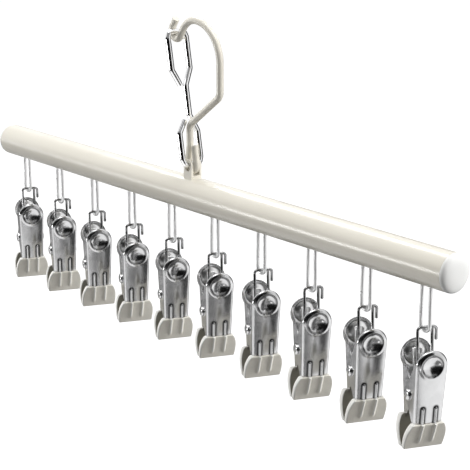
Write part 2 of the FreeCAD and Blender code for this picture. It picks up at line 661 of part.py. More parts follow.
def make_leg(name, inset):
    """Pressed sheet leg: dished handle, tapering flanges, ribs and a bent tongue."""
    body = new_body(name)
    depth = "sizes.leg_depth"
    gauge = "sizes.sheet_gauge"
    foot_z = "-sizes.leg_drop"
    head_z = "(sizes.handle_rise - sizes.handle_radius)"
    top_half = f"(sizes.handle_radius - {inset})"
    foot_half = f"(sizes.leg_foot_width / 2 - {inset})"
    back = "sizes.ear_reach"
    far_back = f"{back} + sizes.overrun"

    blank = draw(body, f"{name}_blank", "YZ_Plane", [mirrored([(top_half, head_z), (foot_half, foot_z)])])
    feature(body, "Pad", f"{name}_blank_pad", blank, depth, back=back)
    head = draw(body, f"{name}_head", "YZ_Plane", circles=[(("0", head_z), "sizes.handle_radius")])
    feature(body, "Pad", f"{name}_head_pad", head, depth, back=back)

    floor = f"{depth} - {gauge}"
    tray = mirrored([
        (f"{top_half} - {gauge}", head_z),
        (f"{foot_half} - {gauge}", foot_z),
        (f"{foot_half} - {gauge}", f"{foot_z} - sizes.overrun"),
    ])
    hollow = draw(body, f"{name}_tray", "YZ_Plane", [tray])
    feature(body, "Pocket", f"{name}_tray_cut", hollow, far_back, back=floor)
    bowl = draw(body, f"{name}_bowl", "YZ_Plane",
                circles=[(("0", head_z), f"sizes.handle_radius - {gauge}")])
    feature(body, "Pocket", f"{name}_bowl_cut", bowl, far_back, back=floor)

    ear = "sizes.ear_height / 2"
    rim_x = f"{depth} - sizes.flange_rim"
    above = "sizes.handle_rise + sizes.overrun"
    below = f"{foot_z} - sizes.overrun"
    behind = f"-({far_back})"
    upper = [(behind, above), (rim_x, above), (rim_x, "sizes.flange_start"), (f"-{back}", ear), (behind, ear)]
    heel_x = f"{depth} - sizes.flange_foot"
    lower = [(behind, f"-{ear}"), (f"-{back}", f"-{ear}"), (heel_x, foot_z), (heel_x, below), (behind, below)]
    edges = draw(body, f"{name}_flange", "XZ_Plane", [upper, lower])
    feature(body, "Pocket", f"{name}_flange_cut", edges, symmetric=True)
    hole = draw(body, f"{name}_hole", "XZ_Plane", circles=[(("0", "0"), RIVET_HOLE)])
    feature(body, "Pocket", f"{name}_hole_cut", hole, symmetric=True)

    dish = "((sizes.dish_width / 2)^2 + sizes.dish_depth^2) / (2 * sizes.dish_depth)"
    add_ball(body, "AdditiveSphere", f"{name}_dish_back", f"{dish} + {gauge}", dish)
    wide = "2 * sizes.handle_radius"
    front = draw(body, f"{name}_front", "YZ_Plane", offset=depth, polygons=[
        mirrored([(wide, f"{head_z} + {wide}"), (wide, f"{head_z} - {wide}")])])
    feature(body, "Pocket", f"{name}_front_cut", front, flip=True)
    add_ball(body, "SubtractiveSphere", f"{name}_dish", dish, dish)

    tongue = draw(body, f"{name}_tongue", "XZ_Plane", [tongue_profile()])
    feature(body, "Pad", f"{name}_tongue_pad", tongue, tongue_width(inset), symmetric=True)
    rib_top = f"{foot_z} + sizes.rib_length"
    rib_x = f"{depth} + sizes.rib_height"
    rib = [(f"{depth} - {gauge} / 2", foot_z), (rib_x, foot_z), (rib_x, f"{rib_top} - sizes.rib_nose"),
           (f"{depth} - {gauge} / 2", rib_top)]
    ribs = draw(body, f"{name}_rib", "XZ_Plane", [rib])
    feature(body, "Pad", f"{name}_rib_pad", ribs, RIB_OUTER, symmetric=True)
    far_x = f"{rib_x} + sizes.overrun"
    middle = [(depth, below), (far_x, below), (far_x, above), (depth, above)]
    between = draw(body, f"{name}_rib_gap", "XZ_Plane", [middle])
    feature(body, "Pocket", f"{name}_rib_gap_cut", between, RIB_INNER, symmetric=True)
    return body


def add_ball(body, kind, name, radius, dish):
    """Sphere behind or in the thumb dish, centred in front of the handle."""
    ball = body.newObject(f"PartDesign::{kind}", name)
    ball.AttachmentSupport = [(origin_plane(body, "YZ_Plane"), "")]
    ball.MapMode = "FlatFace"
    bind(ball, {
        "Radius": radius,
        "AttachmentOffset.Base.y": "sizes.handle_rise - sizes.dish_drop",
        "AttachmentOffset.Base.z": f"sizes.leg_depth - sizes.dish_depth + {dish}",
    })
    doc.recompute()


def make_grip(name, inset):
    """Rubber grip moulded round the tongue of a leg, with two ridges over its ribs."""
    body = new_body(name)
    top = "-sizes.leg_drop"
    tip_z = f"({top} - sizes.grip_height)"
    face_top = "(sizes.leg_depth + sizes.grip_skin)"
    face_tip = f"({face_top} - {JAW_SLOPE} * sizes.grip_height)"
    jaw_tip = f"(sizes.jaw_gap / 2 - {tip_z} * sin(sizes.leg_tilt)) / cos(sizes.leg_tilt)"
    profile = [(face_top, top), (f"{face_top} - sizes.grip_thickness", top), (jaw_tip, tip_z), (face_tip, tip_z)]
    side = draw(body, f"{name}_side", "XZ_Plane", [profile])
    feature(body, "Pad", f"{name}_side_pad", side, "sizes.grip_width", symmetric=True)

    outline = [
        (f"{across_share} * sizes.grip_width / 2", f"{top} - {down_share} * sizes.grip_height")
        for down_share, across_share in GRIP_OUTLINE_SHARES
    ]
    far = "sizes.grip_width / 2 + sizes.overrun"
    waste = [(far, f"{top} + sizes.overrun"), (outline[0][0], f"{top} + sizes.overrun")] + outline
    waste += [(outline[-1][0], f"{tip_z} - sizes.overrun"), (far, f"{tip_z} - sizes.overrun")]
    other = [(f"-({across})", up) for across, up in waste]
    sides = draw(body, f"{name}_outline", "YZ_Plane", [waste, other])
    feature(body, "Pocket", f"{name}_outline_cut", sides, symmetric=True)

    tongue = draw(body, f"{name}_tongue", "XZ_Plane", [tongue_profile()])
    feature(body, "Pocket", f"{name}_tongue_cut", tongue, tongue_width(inset), symmetric=True)

    run = f"{JAW_SLOPE} * sizes.rib_length"
    ridge_z = f"{top} - sizes.rib_length"
    proud = "sizes.rib_height"
    ridge = [(f"{face_top} - sizes.grip_skin / 2", top), (f"{face_top} + {proud}", top),
             (f"{face_top} + {proud} - {run}", f"{ridge_z} + sizes.rib_nose"),
             (f"{face_top} - sizes.grip_skin / 2 - {run}", ridge_z)]
    ridges = draw(body, f"{name}_ridge", "XZ_Plane", [ridge])
    feature(body, "Pad", f"{name}_ridge_pad", ridges, RIB_OUTER, symmetric=True)
    far_x = f"{face_top} + {proud} + sizes.overrun"
    gap = [(face_top, top), (far_x, top), (far_x, tip_z), (face_tip, tip_z)]
    between = draw(body, f"{name}_ridge_gap", "XZ_Plane", [gap])
    feature(body, "Pocket", f"{name}_ridge_gap_cut", between, RIB_INNER, symmetric=True)
    return body


# Rivet, bail and spring of a clip, about the rivet along Y

def make_rivet():
    """Rivet through the flanges of both legs, with a rounded head at each end."""
    body = new_body("rivet")
    half = (f"(sizes.leg_foot_width / 2 + sizes.leg_drop * {FLANGE_SLOPE}"
            f" + sizes.rivet_head / 2 * {FLANGE_SLOPE} + sizes.rivet_fit)")
    shank = draw(body, "rivet_shank", "XZ_Plane", circles=[(("0", "0"), "sizes.rivet_diameter / 2")])
    feature(body, "Pad", "rivet_shank_pad", shank, f"2 * {half}", symmetric=True)
    for name, offset, flip in (("near", half, False), ("far", f"-{half}", True)):
        rim = draw(body, f"rivet_{name}", "XZ_Plane", offset=offset,
                   circles=[(("0", "0"), "sizes.rivet_head / 2")])
        feature(body, "Pad", f"rivet_{name}_pad", rim, "sizes.rivet_head_height", flip=flip)
    end = value(f"{half} + sizes.rivet_head_height")
    rims = [
        f"Edge{number}" for number, edge in enumerate(body.Shape.Edges, 1)
        if abs(abs(edge.CenterOfMass.y) - end) < CONTACT_TOLERANCE
    ]
    blank = body.Tip
    fillet = body.newObject("PartDesign::Fillet", "rivet_round")
    fillet.Base = (blank, rims)
    bind(fillet, {"Radius": "sizes.rivet_head_round"})
    return body


def make_bail():
    """Wire bail: hooked under the rivet on both sides, with one end turned down."""
    foot = value("(sizes.rivet_diameter + sizes.bail_wire) / 2 + sizes.rivet_fit")
    rise = size("bail_rise")
    half = size("bail_width") / 2
    tail = half + size("bail_tail_offset")
    bend = size("bail_bend")
    front = foot * math.tan((QUARTER_TURN + math.asin(foot / rise)) / 2)

    def leg(across):
        places = [(0, rise), (front, -foot), (-foot, -foot), (-foot, size("bail_toe"))]
        return [FreeCAD.Vector(out, across, up) for out, up in places]

    end = [FreeCAD.Vector(0, tail, rise - size("bail_tail_drop")), FreeCAD.Vector(0, tail, rise)]
    yoke = swept_wire("bail_yoke", rounded_path(end + leg(-half), [bend, bend, foot, foot]), "bail_wire")
    prop = swept_wire("bail_prop", rounded_path(leg(half), [foot, foot]), "bail_wire")
    return add("Part::Fuse", "bail", Base=yoke, Tool=prop)


def make_spring():
    """Wound part of the torsion spring, as a plain sleeve round the rivet."""
    body = new_body("spring")
    ring = draw(body, "spring_ring", "XZ_Plane", circles=[
        (("0", "0"), "sizes.spring_radius + sizes.spring_wire / 2"),
        (("0", "0"), "sizes.spring_radius - sizes.spring_wire / 2"),
    ])
    feature(body, "Pad", "spring_pad", ring, "sizes.spring_length", symmetric=True)
    return body


# Ten clips

def make_clips():
    """Five nodes for each clip: the pivot set, two legs and two grips."""
    front_leg = make_leg("front_leg", "0")
    front_grip = make_grip("front_grip", "0")
    rear_leg = make_leg("rear_leg", REAR_INSET)
    rear_grip = make_grip("rear_grip", REAR_INSET)
    half_turn = FreeCAD.Rotation(UP, 180)
    lean = FreeCAD.Rotation(ACROSS, size("leg_tilt"))
    for thing in (front_leg, front_grip):
        thing.Placement = FreeCAD.Placement(FreeCAD.Vector(), lean)
    for thing in (rear_leg, rear_grip):
        thing.Placement = FreeCAD.Placement(FreeCAD.Vector(), half_turn.multiply(lean))
    pivot = [make_bail(), make_rivet(), make_spring()]
    pieces = {
        "pivot": pivot,
        "front_leg": [front_leg],
        "front_grip": [front_grip],
        "rear_leg": [rear_leg],
        "rear_grip": [rear_grip],
    }
    for number in range(1, CLIP_COUNT + 1):
        for piece, sources in pieces.items():
            label = f"clip_{number:02d}_{piece}"
            copy = copy_of(f"{label}_copy", sources, {
                "Placement.Base.x": clip_x(number),
                "Placement.Base.z": RIVET_Z,
                "Placement.Rotation.Angle": "-sizes.clip_yaw",
            })
            node(copy, label)


def check_and_write():
    """Stop on any failed object, then write one file per sub-part."""
    doc.recompute()
    for thing in doc.Objects:
        if {"Invalid", "Error"} & set(thing.State):
            raise RuntimeError(f"{thing.Name} failed: {thing.State}")
    for thing in NODES:
        if thing.Shape.isNull() or not thing.Shape.isValid() or not thing.Shape.Solids:
            raise RuntimeError(f"{thing.Label} has no valid solid")
    os.makedirs("parts", exist_ok=True)
    for thing in NODES:
        thing.Shape.exportStep(f"parts/{thing.Label}.step")
    print(f"{len(NODES)} sub-parts written")


make_hook()
make_latch()
make_lug()
make_lug_washer()
make_lug_nut()
make_tube()
make_end_cap("end_cap_left", -1)
make_end_cap("end_cap_right", 1)
make_loops()
make_clips()
check_and_write()
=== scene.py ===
"""Skirt hanger: finishes for its wires and tube, and pressed clips with moulded grips.

Everything is in metres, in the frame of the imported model. +X runs along the tube, +Z is up, and
the origin is the seat of the hook.
"""
import json
import logging
import math
from dataclasses import dataclass, field
from enum import Enum

import bpy
from mathutils import Matrix, Quaternion, Vector

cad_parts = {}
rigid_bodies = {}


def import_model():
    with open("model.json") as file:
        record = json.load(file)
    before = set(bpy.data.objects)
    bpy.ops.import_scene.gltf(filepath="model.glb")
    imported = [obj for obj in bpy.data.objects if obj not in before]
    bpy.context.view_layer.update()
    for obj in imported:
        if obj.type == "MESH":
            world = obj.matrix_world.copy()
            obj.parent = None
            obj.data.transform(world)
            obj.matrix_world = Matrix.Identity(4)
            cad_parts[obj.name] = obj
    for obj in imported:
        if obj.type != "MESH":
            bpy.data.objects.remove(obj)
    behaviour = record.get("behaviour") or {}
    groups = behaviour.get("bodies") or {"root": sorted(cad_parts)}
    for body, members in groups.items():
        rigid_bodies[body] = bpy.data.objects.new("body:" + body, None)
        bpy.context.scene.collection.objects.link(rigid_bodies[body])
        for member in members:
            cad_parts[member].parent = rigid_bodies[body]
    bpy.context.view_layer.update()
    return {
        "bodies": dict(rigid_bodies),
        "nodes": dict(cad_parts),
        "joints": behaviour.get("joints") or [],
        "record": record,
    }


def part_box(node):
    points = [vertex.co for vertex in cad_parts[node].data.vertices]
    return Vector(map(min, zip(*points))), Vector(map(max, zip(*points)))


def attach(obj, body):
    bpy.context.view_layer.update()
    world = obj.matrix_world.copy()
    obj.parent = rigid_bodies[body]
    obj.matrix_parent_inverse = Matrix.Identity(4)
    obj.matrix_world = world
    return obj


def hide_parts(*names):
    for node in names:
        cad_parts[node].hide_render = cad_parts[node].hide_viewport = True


MM = 0.001
MARK = "surface_mark"  # number at each point of a mesh that a finish may read
NOISE_SPAN = (0.3, 0.7)  # where most of a noise lies
SHARP_EDGE = math.radians(40)  # turn between two faces that shows as an edge
log = logging.getLogger("skirt_hanger")

Point = tuple[float, float, float]
Colour = tuple[float, float, float]
Span = tuple[float, float]
Station = tuple[float, float, float, float]
Grid = list[list[Point]]
Socket = bpy.types.NodeSocket


class Slot(Enum):
    """Material slots of the record, listed with the new pieces."""

    CAP = "white_cap"
    WIRE = "chrome_wire"
    SHEET = "chrome_sheet"
    PLATED = "plated_steel"
    RUBBER = "grip_rubber"


class Side(Enum):
    """The two halves of a clip."""

    FRONT = "front"
    REAR = "rear"


class GripZone(Enum):
    """Zones round a grip, as marks on its mesh."""

    FACE = 0.0
    RIM = 1.0
    LINING = 2.0


def clamp(number: float) -> float:
    """Number kept between 0 and 1."""
    return max(0.0, min(1.0, number))


def smooth_step(start: float, end: float, number: float) -> float:
    """Smooth rise from 0 at start to 1 at end."""
    share = clamp((number - start) / (end - start))
    return share * share * (3 - 2 * share)


def spread(low: float, high: float, count: int) -> list[float]:
    """Evenly spaced numbers from low to high, both included."""
    return [low + (high - low) * step / (count - 1) for step in range(count)]


def full_turn(steps: int) -> list[float]:
    """Evenly spaced angles round a full turn."""
    return spread(0.0, 2 * math.pi, steps + 1)[:-1]


def grey(tone: float) -> Colour:
    """Colour with the same tone in red, green and blue."""
    return (tone, tone, tone)


def along(stations: tuple[Span, ...], place: float) -> float:
    """Read straight runs between stations, level beyond the first and last.

    Args:
        stations: Pairs of place and number, sorted by place.
        place: Where to read them.

    Returns:
        The number there.
    """
    for (low, near), (high, far) in zip(stations, stations[1:]):
        if place <= high:
            return near + (far - near) * clamp((place - low) / (high - low))
    return stations[-1][1]


# Materials

class ShaderSheet:
    """Node tree of one material around its Principled shader."""

    def __init__(self, name: str) -> None:
        """Start a material.

        Args:
            name: Name of the material.
        """
        self.material = bpy.data.materials.new(name)
        self.material.use_nodes = True
        self.tree = self.material.node_tree
        self.shader = self.tree.nodes["Principled BSDF"]
        self.place = self.node("ShaderNodeTexCoord").outputs["Object"]

    def node(self, kind: str, **inputs: float | Point) -> bpy.types.Node:
        """Add a node with some of its inputs set.

        Args:
            kind: Blender's name of the node type.
            **inputs: Values of its sockets, with underscores for spaces.

        Returns:
            The node.
        """
        made = self.tree.nodes.new(kind)
        for socket, number in inputs.items():
            made.inputs[socket.replace("_", " ")].default_value = number
        return made

    def link(self, source: Socket, target: Socket) -> None:
        """Join an output to an input."""
        self.tree.links.new(source, target)

    def show(self, surface: Socket) -> None:
        """Show another shader than the Principled one."""
        self.link(surface, self.tree.nodes["Material Output"].inputs["Surface"])

    def set_uniform(self, **sockets: float) -> None:
        """Set sockets of the shader that are the same all over the surface."""
        for socket, number in sockets.items():
            self.shader.inputs[socket.replace("_", " ")].default_value = number

    def noise(self, scale: float, detail: float = 2.0, stretch: Point = (1.0, 1.0, 1.0)) -> Socket:
        """Add a noise that differs from piece to piece.

        Args:
            scale: Waves per metre.
            detail: Octaves of finer noise.
            stretch: Share of that scale along each axis.

        Returns:
            The socket with a number from 0 to 1.
        """
        mapping = self.node("ShaderNodeMapping", Scale=stretch)
        texture = self.node("ShaderNodeTexNoise", Scale=scale, Detail=detail)
        texture.noise_dimensions = "4D"
        self.link(self.place, mapping.inputs["Vector"])
        self.link(mapping.outputs["Vector"], texture.inputs["Vector"])
        self.link(self.node("ShaderNodeObjectInfo").outputs["Random"], texture.inputs["W"])
        return texture.outputs["Fac"]

    def ramp(self, noise: Socket, low: Colour, high: Colour) -> Socket:
        """Add a colour that follows a noise.

        Args:
            noise: Number from 0 to 1.
            low: Colour at the low end of the noise.
            high: Colour at its high end.

        Returns:
            The socket with the colour.
        """
        ramp = self.node("ShaderNodeValToRGB")
        self.link(noise, ramp.inputs["Fac"])
        for element, position, colour in zip(ramp.color_ramp.elements, NOISE_SPAN, (low, high)):
            element.position = position
            element.color = (*colour, 1.0)
        return ramp.outputs["Color"]

    def carry(self, number: Socket, source: Span, target: Span = (0.0, 1.0)) -> Socket:
        """Carry a number from one span to another.

        Args:
            number: Socket with the number.
            source: Span that it comes from.
            target: Span that it ends in.

        Returns:
            The socket with the new number, which stays inside its span.
        """
        carried = self.node("ShaderNodeMapRange", From_Min=source[0], From_Max=source[1],
                            To_Min=target[0], To_Max=target[1])
        self.link(number, carried.inputs["Value"])
        return carried.outputs["Result"]

    def mark(self) -> Socket:
        """Number that a mesh keeps at its points, 0 where it has none.

        Returns:
            The socket with the number.
        """
        kept = self.node("ShaderNodeAttribute")
        kept.attribute_name = MARK
        return kept.outputs["Fac"]

    def blend(self, share: Socket, first: Socket, second: Colour) -> Socket:
        """Mix two colours.

        Args:
            share: Share of the second colour.
            first: Socket with the first colour.
            second: The second colour.

        Returns:
            The socket with the mix.
        """
        mix = self.node("ShaderNodeMix")
        mix.data_type = "RGBA"
        # The node lists its numbers and vectors before its colours
        factor, _, _, _, _, _, one, two = mix.inputs[:8]
        self.link(share, factor)
        self.link(first, one)
        two.default_value = (*second, 1.0)
        return mix.outputs[2]

    def bump(self, relief: Socket, height: float, strength: float) -> None:
        """Give the surface a fine relief.

        Args:
            relief: Number from 0 to 1.
            height: Height of the relief.
            strength: How much of it shows.
        """
        bump = self.node("ShaderNodeBump", Distance=height, Strength=strength)
        self.link(relief, bump.inputs["Height"])
        self.link(bump.outputs["Normal"], self.shader.inputs["Normal"])


@dataclass(frozen=True)
class Finish:
    """Surface whose tone and gloss drift slowly, with a fine grain."""

    name: str
    pale: Colour
    deep: Colour
    gloss: Span
    tone_scale: float
    tone_detail: float
    grain_scale: float
    grain_detail: float
    grain_height: float
    grain_strength: float
    grain_stretch: Point = (1.0, 1.0, 1.0)

    def material(self) -> bpy.types.Material:
        """Build the finish.

        Returns:
            Its material.
        """
        sheet = ShaderSheet(self.name)
        drift = sheet.noise(self.tone_scale, self.tone_detail)
        tone = sheet.ramp(drift, self.deep, self.pale)
        sheet.link(self.colour(sheet, tone), sheet.shader.inputs["Base Color"])
        sheet.link(sheet.carry(drift, NOISE_SPAN, self.gloss), sheet.shader.inputs["Roughness"])
        grain = sheet.noise(self.grain_scale, self.grain_detail, self.grain_stretch)
        sheet.bump(grain, self.grain_height, self.grain_strength)
        sheet.set_uniform(**self.uniform())
        return sheet.material

    def colour(self, sheet: ShaderSheet, tone: Socket) -> Socket:
        """Colour of the surface, which is its tone unless the mesh has marks to show."""
        return tone

    def uniform(self) -> dict[str, float]:
        """Sockets of the shader that are the same all over the surface."""
        return {}


@dataclass(frozen=True)
class CoatedMetal(Finish):
    """Glossy cream coating over metal, with a faint orange peel."""

    name: str = "cream_coating_gloss"
    pale: Colour = (0.785, 0.75, 0.66)
    deep: Colour = (0.757, 0.722, 0.632)
    gloss: Span = (0.285, 0.315)
    tone_scale: float = 28.0
    tone_detail: float = 3.0
    grain_scale: float = 900.0
    grain_detail: float = 2.0
    grain_height: float = 0.02 * MM
    grain_strength: float = 0.25
    coat: float = 0.35
    coat_roughness: float = 0.12
    ior: float = 1.5

    def uniform(self) -> dict[str, float]:
        """Clear coat and depth of the gloss."""
        return {"Coat_Weight": self.coat, "Coat_Roughness": self.coat_roughness, "IOR": self.ior}


@dataclass(frozen=True)
class CapPlastic(Finish):
    """Satin white moulded plastic of the end caps."""

    name: str = "white_cap_satin"
    pale: Colour = (0.88, 0.88, 0.865)
    deep: Colour = (0.84, 0.84, 0.82)
    gloss: Span = (0.36, 0.46)
    tone_scale: float = 60.0
    tone_detail: float = 2.0
    grain_scale: float = 1500.0
    grain_detail: float = 2.0
    grain_height: float = 0.015 * MM
    grain_strength: float = 0.3
    ior: float = 1.46

    def uniform(self) -> dict[str, float]:
        """Depth of the gloss."""
        return {"IOR": self.ior}


@dataclass(frozen=True)
class PlatedMetal(Finish):
    """Bright plating with drawn marks and handling haze, and painted shade in its pressed creases."""

    tone_scale: float = 160.0
    tone_detail: float = 4.0
    grain_scale: float = 900.0
    grain_detail: float = 3.0
    grain_height: float = 0.01 * MM
    grain_strength: float = 0.12
    grain_stretch: Point = (1.0, 1.0, 0.06)
    # Near-black colour painted along the marked creases and round the dish as shade
    painted_shade: Colour = grey(0.012)

    def colour(self, sheet: ShaderSheet, tone: Socket) -> Socket:
        """Tone of the plating, with painted shade where the mesh is marked."""
        return sheet.blend(sheet.mark(), tone, self.painted_shade)

    def uniform(self) -> dict[str, float]:
        """Metal all over."""
        return {"Metallic": 1.0}


@dataclass(frozen=True)
class SatinWire(Finish):
    """Pale satin plating of the hanging loops, half metallic."""

    name: str = "satin_loop_wire"
    pale: Colour = grey(0.97)
    deep: Colour = grey(0.88)
    gloss: Span = (0.26, 0.36)
    tone_scale: float = 200.0
    tone_detail: float = 3.0
    grain_scale: float = 1800.0
    grain_detail: float = 2.0
    grain_height: float = 0.01 * MM
    grain_strength: float = 0.2
    metal: float = 0.6

    def uniform(self) -> dict[str, float]:
        """Share of metal in the sheen."""
        return {"Metallic": self.metal}


@dataclass(frozen=True)
class GripRubber(Finish):
    """Warm grey moulded rubber with a dusty grain; its sides are painted paler as lit and its inner jaw face
    darker as painted shade.
    """

    name: str = "grip_rubber_moulded"
    pale: Colour = (0.86, 0.83, 0.75)
    deep: Colour = (0.78, 0.75, 0.675)
    gloss: Span = (0.5, 0.66)
    tone_scale: float = 220.0
    tone_detail: float = 4.0
    grain_scale: float = 2600.0
    grain_detail: float = 3.0
    grain_height: float = 0.05 * MM
    grain_strength: float = 0.35
    # Paler colour painted on the sides and ridge crests as light falling on them
    lit_rim: Colour = (0.91, 0.90, 0.86)
    rim_start: Span = (0.3, 0.7)
    # Dark colour painted on the inner jaw face as the shade between the grips
    shaded_lining: Colour = (0.20, 0.19, 0.155)
    lining_start: Span = (1.3, 1.7)
    ior: float = 1.48

    def colour(self, sheet: ShaderSheet, tone: Socket) -> Socket:
        """Colour the zones of a grip, paler on the sides and ridge crests as painted light and dark on the
        jaw face as painted shade.

        Args:
            sheet: Material in the making.
            tone: Tone of the outer face.

        Returns:
            The socket with the colour of the face, the painted-lit sides and the painted-shade jaw face.
        """
        zone = sheet.mark()
        edged = sheet.blend(sheet.carry(zone, self.rim_start), tone, self.lit_rim)
        return sheet.blend(sheet.carry(zone, self.lining_start), edged, self.shaded_lining)

    def uniform(self) -> dict[str, float]:
        """Depth of the gloss."""
        return {"IOR": self.ior}


class Finishes:
    """One material for each finish of the hanger."""

    def __init__(self) -> None:
        """Make the materials; plated ones differ in their pale and deep tone and their gloss."""
        self.coating = CoatedMetal().material()
        self.cap = CapPlastic().material()
        self.loop = SatinWire().material()
        self.rubber = GripRubber().material()
        self.wire = PlatedMetal(
            "chrome_wire_bright", (0.95, 0.95, 0.955), (0.87, 0.87, 0.88), (0.05, 0.12)).material()
        self.bail = PlatedMetal(
            "chrome_bail_dark", (0.52, 0.52, 0.525), (0.38, 0.38, 0.385), (0.08, 0.18)).material()
        self.sheet = PlatedMetal(
            "chrome_sheet_pressed", (0.68, 0.68, 0.685), (0.58, 0.58, 0.585), (0.16, 0.22)).material()
        self.inside = PlatedMetal(
            "chrome_sheet_inside", grey(0.90), grey(0.78), (0.24, 0.34)).material()
        self.plated = PlatedMetal(
            "zinc_plate_dull", (0.62, 0.62, 0.60), (0.46, 0.46, 0.45), (0.28, 0.42)).material()


# Meshes

class MeshDraft:
    """Points, faces and marks of a mesh in the making."""

    def __init__(self) -> None:
        """Start with nothing."""
        self.points: list[Point] = []
        self.faces: list[tuple[int, ...]] = []
        self.marks: list[float] = []

    def add_grid(self, rows: Grid, wrap: bool = False) -> list[list[int]]:
        """Add quads over rows of points.

        Args:
            rows: Rows of equally many points.
            wrap: Whether each row closes on itself.

        Returns:
            The numbers of the points, row by row.
        """
        numbers = []
        for row in rows:
            numbers.append(list(range(len(self.points), len(self.points) + len(row))))
            self.points += row
        for upper, lower in zip(numbers, numbers[1:]):
            last = len(upper) if wrap else len(upper) - 1
            for here in range(last):
                there = (here + 1) % len(upper)
                self.faces.append((upper[here], lower[here], lower[there], upper[there]))
        return numbers

    def add_rings(self, rings: Grid) -> None:
        """Add a closed body over rings, with a flat face at both ends.

        Args:
            rings: Rings of equally many points, in order.
        """
        numbers = self.add_grid(rings, wrap=True)
        self.faces += [tuple(numbers[0]), tuple(numbers[-1][::-1])]

    def mesh(self, name: str, sharp_edge: float = SHARP_EDGE) -> bpy.types.Mesh:
        """Finish the mesh, smooth except across sharp edges.

        Args:
            name: Name of the mesh.
            sharp_edge: Least turn between two faces that shows as an edge.

        Returns:
            The mesh.
        """
        mesh = bpy.data.meshes.new(name)
        mesh.from_pydata(self.points, [], self.faces)
        if self.marks:
            mesh.attributes.new(MARK, "FLOAT", "POINT").data.foreach_set("value", self.marks)
        mesh.validate()
        mesh.shade_smooth()
        mesh.set_sharp_from_angle(angle=sharp_edge)
        return mesh


def thickened(skin: bpy.types.Mesh, gauge: float) -> bpy.types.Mesh:
    """Turn an open skin into a closed sheet with the skin as its outer face.

    Args:
        skin: Open mesh with the materials of its outside and inside.
        gauge: Thickness of the sheet.

    Returns:
        A new mesh; the skin is removed.
    """
    name = skin.name
    holder = bpy.data.objects.new(f"{name}_skin", skin)
    bpy.context.collection.objects.link(holder)
    solidify = holder.modifiers.new("gauge", "SOLIDIFY")
    solidify.thickness = gauge
    solidify.offset = -1
    solidify.use_even_offset = True
    solidify.material_offset = 1
    depsgraph = bpy.context.evaluated_depsgraph_get()
    closed = bpy.data.meshes.new_from_object(holder.evaluated_get(depsgraph))
    bpy.data.objects.remove(holder)
    bpy.data.meshes.remove(skin)
    closed.name = name
    closed.shade_smooth()
    closed.set_sharp_from_angle(angle=SHARP_EDGE)
    return closed


